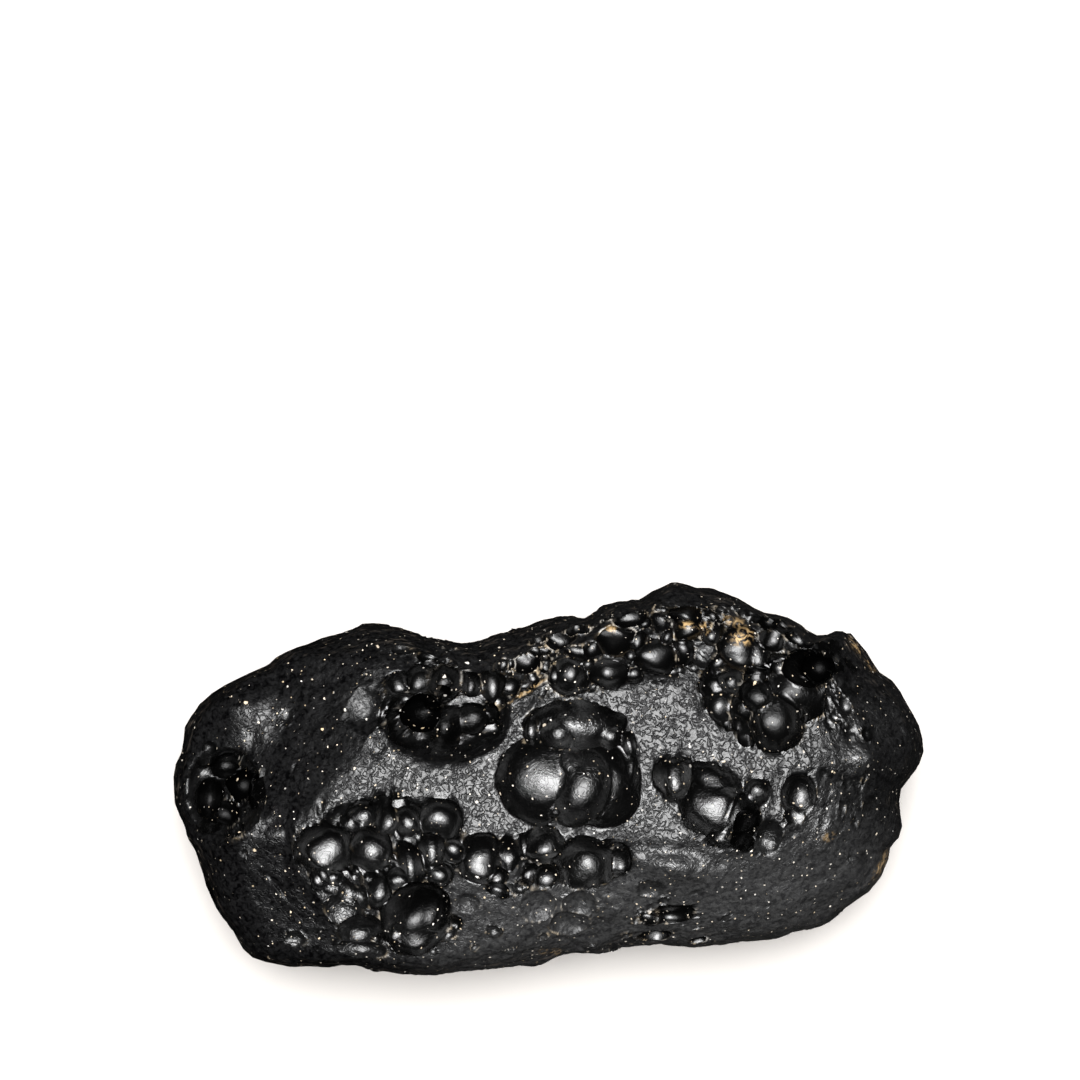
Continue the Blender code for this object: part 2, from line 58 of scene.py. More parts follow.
# %% The outline from above
OUTLINE = (
    (29.4, 0.8), (29.9, 2.2), (29.3, 4.5), (28.4, 6.4), (27.2, 7.8), (26.3, 8.6), (24.8, 10.9),
    (23.9, 11.8), (22.8, 11.7), (21.4, 11.1), (20.9, 11.4), (19.3, 12.6), (17.0, 13.2), (15.0, 14.5),
    (12.2, 15.2), (10.4, 15.6), (9.0, 15.1), (7.4, 14.0), (6.4, 14.0), (4.6, 13.6), (3.0, 12.7),
    (1.5, 12.9), (-0.8, 12.3), (-2.5, 11.8), (-4.0, 11.5), (-5.4, 10.7), (-7.0, 10.5), (-9.8, 11.0),
    (-10.8, 11.6), (-12.4, 12.0), (-14.6, 12.2), (-16.2, 11.7), (-18.5, 10.9), (-21.0, 10.0),
    (-22.7, 8.8), (-25.0, 7.8), (-27.3, 6.2), (-28.7, 4.2), (-29.0, 2.4), (-29.8, 0.4), (-29.8, -2.3),
    (-29.1, -3.5), (-29.0, -4.5), (-28.3, -5.5), (-27.5, -7.6), (-26.8, -10.0), (-25.1, -12.4),
    (-24.0, -14.0), (-22.0, -14.8), (-19.0, -15.0), (-15.5, -14.8), (-13.3, -15.3), (-7.5, -15.6),
    (-3.0, -15.2), (-0.3, -14.8), (1.6, -14.0), (4.0, -14.2), (7.0, -13.6), (10.5, -13.5),
    (15.5, -13.0), (19.5, -12.5), (22.4, -11.8), (24.2, -10.3), (26.0, -8.9), (27.2, -7.0),
    (27.5, -5.5), (28.1, -4.9), (28.4, -3.7), (28.1, -1.5), (28.4, -0.4),
)
PLAN_SOFTNESS = 0.35
PLAN_SAMPLES = 9
PLAN_STEPS = 2880
PLAN_POWER = 6


def outline_reach(bearing):
    """Distance from the centre to the outline at each bearing, on a smooth closed curve."""
    points = np.array(OUTLINE)
    turns = np.arctan2(points[:, 1], points[:, 0]) % math.tau
    order = np.argsort(turns)
    turns = turns[order]
    reaches = np.hypot(points[:, 0], points[:, 1])[order]
    count = len(turns)
    bearing = np.asarray(bearing) % math.tau
    after = np.searchsorted(turns, bearing) % count
    before = (after - 1) % count
    span = (turns[after] - turns[before]) % math.tau
    share = ((bearing - turns[before]) % math.tau) / span
    r0 = reaches[(before - 1) % count]
    r1 = reaches[before]
    r2 = reaches[after]
    r3 = reaches[(after + 1) % count]
    slope1 = (r2 - r0) / 2
    slope2 = (r3 - r1) / 2
    square = share * share
    cube = square * share
    return ((2 * cube - 3 * square + 1) * r1 + (cube - 2 * square + share) * slope1
            + (3 * square - 2 * cube) * r2 + (cube - square) * slope2)


BEARINGS = np.linspace(0, math.tau, PLAN_STEPS + 1)
FULL_REACH = outline_reach(BEARINGS)
PLAN_TURNS = np.linspace(-PLAN_SOFTNESS, PLAN_SOFTNESS, PLAN_SAMPLES)
SOFT_REACH = np.mean([outline_reach(BEARINGS + turn) for turn in PLAN_TURNS], axis=0)


def plan_reach(bearing, level):
    """The reach at a level from 0 on the axis to 1 at the rim: only the rim has the full detail."""
    bearing = np.asarray(bearing) % math.tau
    full = np.interp(bearing, BEARINGS, FULL_REACH)
    soft = np.interp(bearing, BEARINGS, SOFT_REACH)
    return soft + (full - soft) * np.asarray(level) ** PLAN_POWER


print("length along X, mm:", FULL_REACH[0] + FULL_REACH[PLAN_STEPS // 2])

# %% [markdown]
# The upper side isn't a plain dome. Broad faces cut it flat, and these are what catch the light: the
# one that faces up is grey with sheen, and those that lean away are black. Each face is a plane, and
# the stone takes the lower of the dome and the planes, rounded where they cross. Broad rises and
# hollows are added on top.

# %% Broad faces, rises and hollows
GIRTH_HEIGHT = 9.6
GIRTH_SWAY = 1.2
GIRTH_TURN = 0.9
RISE = 12.2
DROP = 10.2
SWELL_POWER = 2.5
RIM_STEEPNESS = 3

# Each face: a point x, y, z on it, and its slopes along x and y.
FACES = (
    (12.0, 1.0, 20.4, -0.02, -0.10),
    (12.0, -5.9, 21.0, -0.03, 0.42),
    (21.0, 1.0, 20.6, -0.46, -0.12),
    (14.0, 7.5, 20.2, -0.10, -0.42),
    (-9.0, 0.0, 20.3, 0.05, -0.12),
    (-15.2, 0.0, 20.3, 0.40, -0.38),
    (-18.0, -6.5, 19.3, 0.22, 0.36),
    (-4.0, -7.0, 20.4, 0.02, 0.40),
    (0.0, 8.0, 19.6, 0.00, -0.46),
)
FACE_BLEND = 0.5

# Each rise or hollow: its place, half sizes, turn in degrees and height.
FORMS = (
    # broad ones
    (-8.0, 5.8, 5.2, 3.4, 0, -0.8),
    (17.6, 7.0, 3.8, 3.0, 0, -0.6),
    (-12.8, -6.0, 5.0, 4.2, 0, -0.4),
    (10.2, -6.7, 2.6, 1.1, -6, 1.1),
    (9.6, -5.2, 2.4, 0.5, -4, -0.3),
    (-24.8, 5.9, 2.6, 2.6, 0, 1.6),
    (21.9, -4.9, 1.2, 1.2, 0, 0.25),
    (25.2, 1.8, 1.5, 1.1, 0, 0.90),
    (3.0, 12.0, 5.0, 2.5, 0, -0.8),
    # lips round the bowl and the clusters
    (-24.2, -4.2, 2.6, 0.5, 36, 0.45),
    (-19.7, -4.9, 2.2, 0.45, 85, 0.40),
    (-17.9, -8.9, 1.9, 0.5, -52, 0.35),
    (-9.3, 9.5, 1.5, 0.3, -25, 0.50),
    (-1.5, 7.2, 1.9, 0.25, 33, 0.40),
    (9.0, 8.2, 0.9, 0.35, 0, 0.45),
    (14.6, -5.2, 1.4, 0.3, 5, 0.30),
    (16.8, 12.5, 1.0, 0.3, -28, 0.40),
    (-5.2, 2.2, 1.6, 0.35, 38, 0.30),
    # folds where the glass ran
    (-13.4, -0.6, 0.9, 0.16, 60, 0.20),
    (-12.7, -0.5, 1.0, 0.16, 72, 0.20),
    (-12.0, -0.4, 1.0, 0.16, 82, 0.20),
    (-11.2, -0.3, 0.9, 0.16, 95, 0.18),
    (2.2, -8.7, 1.3, 0.22, 12, 0.35),
    (3.4, -9.5, 1.0, 0.20, -40, 0.30),
    (-14.0, 10.8, 3.0, 0.20, -12, 0.25),
    (-14.4, 11.4, 2.6, 0.18, -12, 0.20),
    (28.1, 4.0, 2.6, 0.22, 112, 0.25),
    (26.3, -7.2, 1.8, 0.22, 62, 0.25),
    (26.9, -6.6, 1.8, 0.18, 62, 0.20),
    # grooves
    (-21.1, -8.3, 0.9, 0.16, -52, -0.25),
    (3.0, -13.2, 1.9, 0.20, -30, -0.40),
    (22.6, 0.1, 1.9, 0.45, -8, -0.45),
)

# Hollows with a clear rim, in which whole clusters of bubbles lie: the last number is the depth.
HOLLOWS = (
    (-7.9, 5.3, 5.1, 3.8, -3, 1.7),
    (15.8, 6.6, 4.2, 3.2, -30, 1.2),
    (-12.8, -5.2, 6.4, 4.3, 8, 1.0),
    (-25.3, -0.9, 3.2, 3.5, 0, 2.0),
    (1.4, 1.2, 5.4, 5.0, 0, 0.6),
)
HOLLOW_POWER = 4


def lower_of(a, b, blend):
    """The lower of two heights, rounded where they cross."""
    share = np.clip(0.5 + 0.5 * (b - a) / blend, 0, 1)
    return b * (1 - share) + a * share - blend * share * (1 - share)


def place_in_oval(x, y, oval_x, oval_y, half_x, half_y, turn):
    """How far from an oval's middle a place is: 0 in the middle, 1 on its edge."""
    cos_turn = math.cos(math.radians(turn))
    sin_turn = math.sin(math.radians(turn))
    along = (x - oval_x) * cos_turn + (y - oval_y) * sin_turn
    across = (y - oval_y) * cos_turn - (x - oval_x) * sin_turn
    return np.hypot(along / half_x, across / half_y)


def stone_skin(directions):
    """Points of the stone's skin, without its bubbles, in the given directions."""
    d = directions / np.linalg.norm(directions, axis=1, keepdims=True)
    level = np.hypot(d[:, 0], d[:, 1])
    bearing = np.arctan2(d[:, 1], d[:, 0])
    reach = plan_reach(bearing, level) * level ** (2 / SWELL_POWER)
    x = reach * np.cos(bearing)
    y = reach * np.sin(bearing)
    girth = GIRTH_HEIGHT + GIRTH_SWAY * np.cos(2 * bearing - GIRTH_TURN)
    lift = np.abs(d[:, 2]) ** (2 / SWELL_POWER)
    is_upper = d[:, 2] > 0
    dome = girth + RISE * lift
    for face_x, face_y, height, slope_x, slope_y in FACES:
        plane = height + slope_x * (x - face_x) + slope_y * (y - face_y)
        dome = lower_of(dome, np.maximum(plane, girth), FACE_BLEND)
    for form_x, form_y, half_x, half_y, turn, height in FORMS:
        away = place_in_oval(x, y, form_x, form_y, half_x, half_y, turn)
        dome = dome + height * np.exp(-away ** 2)
    for oval_x, oval_y, half_x, half_y, turn, depth in HOLLOWS:
        away = place_in_oval(x, y, oval_x, oval_y, half_x, half_y, turn)
        dome = dome - depth * np.clip(1 - away ** HOLLOW_POWER, 0, 1)
    upper = girth + (dome - girth) * np.clip(lift * RIM_STEEPNESS, 0, 1)
    lower = girth - (DROP + girth - GIRTH_HEIGHT) * lift
    z = np.where(is_upper, upper, lower)
    return np.stack([x, y, z], axis=1)


top = stone_skin(UP[None, :])[0]
print("top of the plain stone, mm:", top)

# %% [markdown]
# ## The blank mesh
# The mesh starts as a cube, because a cube's grid has no poles. Its faces are divided, the faces that
# point up are divided twice more, since they carry the fine work, and every vertex then gives the
# direction in which it goes out to the skin. Where the skin is nearly level, and where it is steep,
# is noted for later.

# %% Divide a cube and send it out to the skin
CUBE_CUTS = (87, 45, 13)
CUBE_HEIGHT = 0.62
ALONG_AXIS = 0.9
FINE_FROM = 0.20
FINE_LEVELS = 2
LEVEL_FROM = 0.90
LEVEL_TO = 0.97
STEEP_FROM = 0.65
STEEP_TO = 0.25

bm = bmesh.new()
bmesh.ops.create_cube(bm, size=2.0)
for axis, cuts in enumerate(CUBE_CUTS):
    edge_ways = [(e, (e.verts[0].co - e.verts[1].co).normalized()) for e in bm.edges]
    lines = [e for e, way in edge_ways if abs(way[axis]) > ALONG_AXIS]
    bmesh.ops.subdivide_edges(bm, edges=lines, cuts=cuts, use_grid_fill=True)
for level in range(FINE_LEVELS):
    fine_faces = {f for f in bm.faces if min(v.co.z for v in f.verts) > FINE_FROM}
    fine_edges = [e for e in bm.edges if not fine_faces.isdisjoint(e.link_faces)]
    bmesh.ops.subdivide_edges(bm, edges=fine_edges, cuts=1, use_grid_fill=True)
stone_mesh = bpy.data.meshes.new("tektite_skin")
bm.to_mesh(stone_mesh)
bm.free()

cube_points = np.empty(len(stone_mesh.vertices) * 3, np.float32)
stone_mesh.vertices.foreach_get("co", cube_points)
directions = np.tan(cube_points.reshape(-1, 3).astype(float) * math.pi / 4)
directions[:, 2] *= CUBE_HEIGHT
directions /= np.linalg.norm(directions, axis=1, keepdims=True)
points = stone_skin(directions)
stone_mesh.vertices.foreach_set("co", (points * MM).astype(np.float32).ravel())
stone_mesh.update()
blank_normals = np.empty(len(points) * 3, np.float32)
stone_mesh.vertices.foreach_get("normal", blank_normals)
level_skin = np.clip((blank_normals[2::3] - LEVEL_FROM) / (LEVEL_TO - LEVEL_FROM), 0, 1)
steep_skin = np.clip((blank_normals[2::3] - STEEP_FROM) / (STEEP_TO - STEEP_FROM), 0, 1)
print("blank mesh vertices:", len(points))

# %% [markdown]
# A molten lump is never quite regular, so slow noise pushes the skin in and out by a fraction of a
# millimetre before anything is cut.

# %% Slow lumps
LUMP_SIZE = 7.0
LUMP_HEIGHT = 0.3
LUMP_ROUGHNESS = 1.0
LUMP_SPREAD = 2.0
LUMP_LAYERS = 3
LUMP_NOISE = (LUMP_ROUGHNESS, LUMP_SPREAD, LUMP_LAYERS)

lumps = np.array([noise.fractal(Vector(p) / LUMP_SIZE, *LUMP_NOISE) for p in points])
points += directions * (LUMP_HEIGHT * lumps)[:, None]
blank_points = points.copy()
print("lumps from", lumps.min(), "to", lumps.max(), "times", LUMP_HEIGHT, "mm")

# %% [markdown]
# ## The bubbles
# Each bubble is an ellipsoid sunk into the skin. A Boolean could cut them all, but it leaves long thin
# triangles that shade badly on polished glass. Instead every vertex inside a bubble is moved straight
# away from the bubble's top until it lies on the far wall. Where two bubbles meet, a sharp ridge stays
# between them, as on the real stone. A vertex that lies just outside a rim is drawn onto it, so that
# the rim is a clean line.

# %% Press one bubble into the skin
SNAP = 0.10
LEVEL_START = 0.5
LEVEL_STEPS = 8
LEVEL_LIMIT = 0.99
NORMAL_STEP = 0.03
NEARLY_UPRIGHT = 0.9


def direction_over(x, y):
    """The direction that meets the upper skin above a place on the plan."""
    bearing = math.atan2(y, x)
    level = LEVEL_START
    for _ in range(LEVEL_STEPS):
        share = math.hypot(x, y) / float(plan_reach(bearing, level))
        level = min(share, LEVEL_LIMIT) ** (SWELL_POWER / 2)
    height = math.sqrt(1 - level * level)
    return np.array([level * math.cos(bearing), level * math.sin(bearing), height])


def skin_point_and_normal(direction):
    """Where a direction meets the skin, and which way the skin faces there."""
    direction = direction / np.linalg.norm(direction)
    helper = UP if abs(direction[2]) < NEARLY_UPRIGHT else np.array([1.0, 0.0, 0.0])
    side = np.cross(direction, helper)
    side /= np.linalg.norm(side)
    other = np.cross(direction, side)
    around = stone_skin(np.array([
        direction,
        direction + NORMAL_STEP * side,
        direction - NORMAL_STEP * side,
        direction + NORMAL_STEP * other,
        direction - NORMAL_STEP * other,
    ]))
    normal = np.cross(around[1] - around[2], around[3] - around[4])
    normal /= np.linalg.norm(normal)
    if normal @ direction < 0:
        normal = -normal
    return around[0], normal


def press_bubble(spot, axis, half_length, half_width, turn, depth, polish=1.0):
    """Move the vertices inside one bubble onto its wall, and mark them as wall."""
    up = axis / np.linalg.norm(axis)
    along = np.array([math.cos(math.radians(turn)), math.sin(math.radians(turn)), 0.0])
    along -= up * (along @ up)
    along /= np.linalg.norm(along)
    across = np.cross(up, along)
    mean = math.sqrt(half_length * half_width)
    sink = depth * mean
    radius = (mean * mean + sink * sink) / (2 * sink)
    centre = spot + up * (radius - sink)
    to_ball = np.stack([
        along * mean / (radius * half_length),
        across * mean / (radius * half_width),
        up / radius,
    ])
    reach = radius * max(half_length, half_width) / mean + SNAP
    near = np.flatnonzero(np.linalg.norm(points - centre, axis=1) < reach)
    ball = (points[near] - centre) @ to_ball.T
    distance = np.linalg.norm(ball, axis=1)
    inside = distance < 1 + SNAP / radius
    ball = ball[inside]
    ray = ball - UP
    ray /= np.linalg.norm(ray, axis=1, keepdims=True)
    ball = UP + ray * (-2 * (ray @ UP))[:, None]
    near = near[inside]
    points[near] = ball @ np.linalg.inv(to_ball).T + centre
    wall[near] = polish


def press_over(x, y, half_length, half_width, turn, depth, polish):
    """Press a bubble into the upper skin over a place on the plan, leaning halfway with the skin."""
    spot, normal = skin_point_and_normal(direction_over(x, y))
    press_bubble(spot, normal + UP, half_length, half_width, turn, depth, polish)


wall = np.zeros(len(points))
print("snap distance, mm:", SNAP)

# %% [markdown]
# The bubbles of the upper side are placed one by one, from the three big ones in the middle outwards.
# Each row holds the place on the plan, the half length and half width, the turn in degrees, and the
# depth as a share of the mean half size. Two factors after the table then widen the middling mouths
# and make every bubble shallower.

# %% The bubbles of the upper side
BUBBLE_ROWS = (
    # three big ones that meet in the middle, and what breaks their walls
    (-0.4, 0.5, 3.3, 3.3, 0, 0.6),
    (2.7, -0.3, 3.2, 2.5, 62, 1.05),
    (3.9, 0.0, 3.0, 3.1, 0, 0.5),
    (2.0, 4.5, 3.9, 1.9, 0, 0.8),
    (1.8, 1.3, 0.9, 0.8, 0, 2.35),
    (0.8, 3.9, 1.3, 1.1, 0, 1.85),
    (4.8, 3.7, 0.9, 1.0, 0, 1.65),
    (-1.2, 4.1, 0.7, 1.1, 0, 1.45),
    (6.3, 3.0, 0.55, 1.1, 0, 1.2),
    (6.5, 1.1, 0.45, 1.2, 0, 1.2),
    (0.6, -2.1, 0.5, 0.45, 0, 2.55),
    (2.1, -2.0, 0.5, 0.45, 0, 2.55),
    (3.7, -2.5, 0.6, 0.5, 0, 2.25),
    # the oblong row to their right
    (9.9, 0.5, 1.75, 1.6, 0, 0.85),
    (10.0, 0.1, 1.2, 1.1, 0, 1.6),
    (12.9, 0.4, 2.1, 0.95, -25, 1.0),
    (12.7, -1.6, 2.5, 2.75, 20, 0.95),
    (15.0, -2.9, 1.5, 2.1, 15, 1.2),
    (13.4, -4.0, 1.2, 0.8, 0, 1.3),
    (16.2, -0.7, 1.0, 0.95, 0, 0.9),
    (17.1, -4.3, 1.05, 1.35, 0, 0.7),
    (19.6, -0.9, 1.3, 1.6, 0, 0.85),
    (19.2, -2.5, 0.8, 0.6, 0, 0.8),
    (10.7, 2.4, 0.5, 0.4, 0, 0.5),
    # the cluster at the lower left
    (-17.3, -5.1, 2.1, 1.9, 0, 0.95),
    (-13.8, -5.2, 1.7, 1.65, 0, 1.15),
    (-14.4, -2.6, 1.0, 0.95, 0, 1.0),
    (-12.5, -2.9, 0.95, 1.25, 0, 1.1),
    (-10.9, -3.0, 1.0, 1.15, 0, 1.1),
    (-8.4, -2.7, 1.8, 1.5, 0, 1.3),
    (-9.4, -2.1, 0.75, 0.65, 0, 1.8),
    (-10.7, -6.2, 1.0, 1.6, 20, 1.1),
    (-9.2, -5.3, 1.1, 1.6, 0, 1.1),
    (-7.4, -5.1, 0.9, 0.95, 0, 1.8),
    (-8.4, -7.1, 1.0, 0.9, 0, 1.2),
    (-11.6, -7.5, 0.95, 0.9, 0, 1.1),
    (-13.2, -8.4, 0.85, 1.35, 0, 0.95),
    (-12.3, -4.4, 0.45, 0.4, 0, 0.6),
    (-17.4, -7.3, 0.65, 0.65, 0, 1.0),
    (-16.4, -7.4, 0.65, 0.65, 0, 1.0),
    (-15.6, -7.1, 0.35, 0.35, 0, 1.0),
    (-14.7, -6.7, 0.5, 0.45, 0, 1.1),
    (-14.9, -7.4, 0.5, 0.45, 0, 1.1),
    (-14.1, -7.4, 0.45, 0.45, 0, 1.1),
    (-15.5, -8.6, 0.75, 0.85, 0, 0.7),
    (-14.5, -8.9, 0.65, 0.8, 0, 0.7),
    (-16.0, -10.0, 1.35, 1.2, 0, 0.65),
    (-14.7, -11.7, 1.7, 1.4, 0, 0.75),
    (-13.4, -12.3, 0.6, 0.6, 0, 1.2),
    (-14.6, -13.1, 1.7, 0.7, -8, 0.6),
    (-10.3, -10.6, 2.7, 3.2, -25, 1.1),
    (-10.9, -10.3, 0.8, 1.35, -30, 2.35),
    (-11.6, -11.9, 0.75, 0.9, -30, 2.05),
    (-9.1, -10.3, 1.1, 1.8, -20, 2.15),
    # the lower middle
    (-5.3, -5.8, 1.75, 2.0, 0, 0.95),
    (-3.1, -5.5, 0.95, 1.4, 0, 0.95),
    (-4.0, -7.2, 0.8, 0.7, 0, 0.9),
    (-0.3, -4.8, 1.7, 1.65, 0, 0.9),
    (-1.7, -4.8, 0.6, 1.0, 0, 1.3),
    (2.9, -6.2, 2.35, 1.95, 0, 0.9),
    (5.5, -6.0, 0.95, 1.3, 0, 1.1),
    (4.6, -4.7, 0.6, 0.4, 0, 0.8),
    (-0.2, -7.3, 0.9, 0.8, 0, 0.9),
    (-0.7, -9.8, 1.2, 1.2, 0, 0.45),
    (1.8, -11.3, 1.1, 1.0, 0, 0.4),
    (2.5, -9.6, 1.0, 1.0, 0, 0.5),
    (-4.2, -11.6, 0.5, 0.5, 0, 0.7),
    (8.0, -8.4, 0.9, 0.8, 0, 0.6),
    (7.9, -10.6, 0.8, 0.65, 0, 1.6),
    (9.6, -10.4, 1.5, 0.9, 0, 1.0),
    (10.9, -10.3, 0.6, 0.6, 0, 0.9),
    (8.4, -12.3, 1.1, 0.8, 0, 0.9),
    (11.8, -12.5, 0.6, 0.4, 0, 0.9),
    (-19.8, -12.4, 0.8, 0.6, 0, 0.8),
    (-6.2, -9.4, 0.7, 0.6, 0, 0.5),
    # the cluster at the upper right
    (17.8, 4.7, 1.95, 2.3, 0, 0.95),
    (16.3, 6.8, 1.2, 1.35, 0, 1.25),
    (16.2, 8.2, 0.85, 0.9, 0, 1.3),
    (14.3, 7.9, 1.0, 1.0, 0, 1.1),
    (13.4, 6.0, 1.05, 1.4, 0, 0.8),
    (15.2, 5.8, 1.1, 1.1, 0, 0.9),
    (19.5, 7.3, 2.4, 2.3, 0, 0.95),
    (20.4, 9.0, 1.75, 1.45, 0, 1.7),
    (18.3, 9.2, 1.2, 0.9, 0, 1.2),
    (15.0, 10.4, 1.65, 1.9, 0, 0.8),
    (16.4, 10.1, 0.85, 1.3, 0, 1.0),
    (12.2, 10.1, 0.95, 0.95, 0, 0.6),
    (12.2, 10.0, 0.25, 0.25, 0, 2.8),
    (17.4, 11.1, 1.0, 0.9, 0, 0.9),
    (19.6, 11.0, 1.15, 0.75, 0, 0.9),
    (18.6, 12.3, 0.8, 0.6, 0, 0.8),
    (22.3, 9.3, 0.65, 0.6, 0, 0.9),
    (21.8, 10.7, 0.6, 0.5, 0, 0.8),
    (23.2, 9.2, 0.4, 0.5, 0, 0.9),
    (23.4, 7.3, 0.5, 0.5, 0, 0.7),
    (24.2, 7.2, 0.45, 0.45, 0, 0.7),
    (23.3, 6.1, 0.6, 0.8, 0, 0.7),
    (24.9, 3.8, 0.6, 0.5, 0, 0.8),
    # the upper middle
    (1.6, 8.4, 1.65, 1.45, 0, 0.85),
    (0.5, 8.5, 0.6, 0.9, 0, 1.3),
    (4.8, 8.6, 1.7, 1.2, 0, 0.95),
    (8.5, 10.0, 1.7, 1.45, 0, 0.85),
    (10.6, 10.3, 0.9, 1.25, 0, 0.95),
    (9.4, 11.5, 0.6, 0.8, 0, 1.2),
    (10.7, 12.0, 1.15, 1.0, 0, 0.9),
    (10.7, 13.1, 1.5, 0.8, 0, 0.9),
    (12.9, 11.7, 0.95, 0.95, 0, 1.2),
    (8.8, 12.6, 0.8, 0.8, 0, 0.8),
    (6.3, 12.8, 1.2, 0.8, 0, 0.8),
    (5.2, 11.2, 1.5, 1.3, 0, 0.85),
    (3.5, 10.4, 0.9, 0.8, 0, 0.9),
    (0.9, 11.1, 1.1, 1.0, 0, 0.8),
    (2.4, 11.8, 0.9, 0.7, 0, 0.8),
    (2.4, 10.2, 0.9, 0.7, 0, 0.8),
    (-1.6, 9.3, 1.0, 0.9, 0, 0.9),
    (-3.0, 9.2, 0.6, 0.6, 0, 0.9),
    (6.7, 8.4, 0.7, 0.6, 0, 0.9),
    # the trough at the upper left
    (-14.4, 6.0, 1.3, 1.65, 0, 0.45),
    (-11.7, 7.7, 1.0, 1.2, 0, 1.0),
    (-10.0, 8.0, 0.95, 1.2, 0, 1.0),
    (-8.1, 7.7, 1.15, 1.45, 0, 1.0),
    (-6.0, 7.6, 1.0, 1.0, 0, 1.1),
    (-4.4, 7.6, 1.0, 1.35, 0, 1.1),
    (-3.0, 7.5, 0.8, 0.8, 0, 1.1),
    (-9.9, 5.3, 1.45, 1.35, 0, 1.7),
    (-11.7, 5.1, 1.0, 1.1, 0, 1.3),
    (-12.9, 5.3, 0.5, 1.0, 0, 0.9),
    (-7.9, 4.4, 1.25, 1.45, 0, 1.1),
    (-6.0, 4.9, 1.25, 1.15, 0, 1.1),
    (-4.6, 5.4, 0.8, 0.9, 0, 1.2),
    (-10.3, 3.7, 0.8, 0.75, 0, 0.75),
    (-8.0, 3.2, 1.1, 0.75, 0, 0.75),
    (-5.9, 3.6, 0.9, 0.75, 20, 0.75),
    (-4.4, 4.0, 0.9, 0.8, 30, 0.9),
    (-13.4, 2.9, 0.85, 0.8, 0, 0.4),
    (-11.5, 10.4, 0.8, 0.55, 0, 0.6),
    (-9.5, 9.8, 0.9, 0.5, 0, 0.9),
    (-20.6, 5.0, 0.5, 0.6, 0, 0.6),
    # the pit at the left end
    (-24.0, -0.4, 1.2, 1.2, 0, 2.05),
    (-22.6, -0.4, 0.75, 1.0, 0, 1.8),
    (-26.8, -1.4, 1.0, 1.5, 0, 1.3),
    (-25.3, -2.6, 1.2, 0.9, -20, 1.6),
    (-25.4, 1.2, 1.2, 0.9, 15, 1.3),
    (-26.6, -2.9, 0.4, 0.4, 0, 1.6),
    (-29.0, 1.3, 0.6, 0.7, 0, 0.7),
    (-26.6, 2.5, 0.5, 0.5, 0, 0.8),
)
WIDER = 1.1
WIDER_FROM = 0.6
WIDER_TO = 2.4
SHALLOWER = 0.75


def opened(row):
    """A bubble as it is pressed: middling mouths are widened, and every depth is reduced."""
    x, y, half_length, half_width, turn, depth = row
    mean = math.sqrt(half_length * half_width)
    wider = WIDER if WIDER_FROM < mean < WIDER_TO else 1.0
    return x, y, half_length * wider, half_width * wider, turn, depth * SHALLOWER


BUBBLES = [opened(row) for row in BUBBLE_ROWS]
print("bubbles of the upper side:", len(BUBBLES))

# %% [markdown]
# The clusters are foam: small bubbles fill all the room between the larger ones. They are scattered
# by a seeded draw in oval patches, and pressed first, so that the larger ones cut into them. Each
# patch holds its place, half sizes and turn, then how many bubbles it has, how large they are, and
# how deep.

# %% Foam between the larger bubbles
FOAM_SEED = 5
FOAM_CLEAR = 1.0
FOAM_LONGER = 0.5
FOAM_DEPTH = 0.6
FOAM_DEPTH_SPREAD = 0.8
POLISHED_FROM = 0.6
FOAM = (
    (-7.9, 5.6, 4.3, 3.0, -3, 110, 0.35, 0.90, 0.60),
    (-12.8, -5.4, 6.0, 4.0, 8, 150, 0.35, 0.90, 0.80),
    (-11.5, -10.8, 4.6, 2.8, -10, 50, 0.30, 0.70, 0.60),
    (-3.5, -6.0, 3.2, 2.4, 0, 50, 0.30, 0.70, 0.70),
    (16.2, 6.8, 4.4, 3.4, -30, 120, 0.35, 0.90, 0.80),
    (15.5, 10.6, 5.6, 2.6, -15, 110, 0.30, 0.80, 0.70),
    (9.6, 11.0, 3.6, 2.6, 0, 90, 0.30, 0.80, 0.70),
    (3.6, 10.0, 5.6, 2.6, 10, 130, 0.30, 0.70, 0.70),
    (-2.4, 8.6, 2.0, 1.4, 0, 30, 0.25, 0.60, 0.70),
    (22.8, 7.6, 1.9, 3.4, 0, 50, 0.25, 0.55, 0.50),
    (-25.3, -0.9, 2.8, 3.1, 0, 40, 0.30, 0.80, 0.70),
    (9.4, -10.9, 2.6, 1.6, 0, 22, 0.25, 0.60, 0.60),
    (1.6, 1.2, 4.8, 4.6, 0, 50, 0.40, 1.00, 0.60),
    (0.0, -1.0, 28.0, 13.0, 0, 200, 0.12, 0.38, 0.45),
)


def in_a_placed_bubble(x, y):
    """Whether a place on the plan lies inside one of the placed bubbles."""
    for bubble_x, bubble_y, half_length, half_width, turn, _ in BUBBLES:
        if place_in_oval(x, y, bubble_x, bubble_y, half_length, half_width, turn) < FOAM_CLEAR:
            return True
    return False


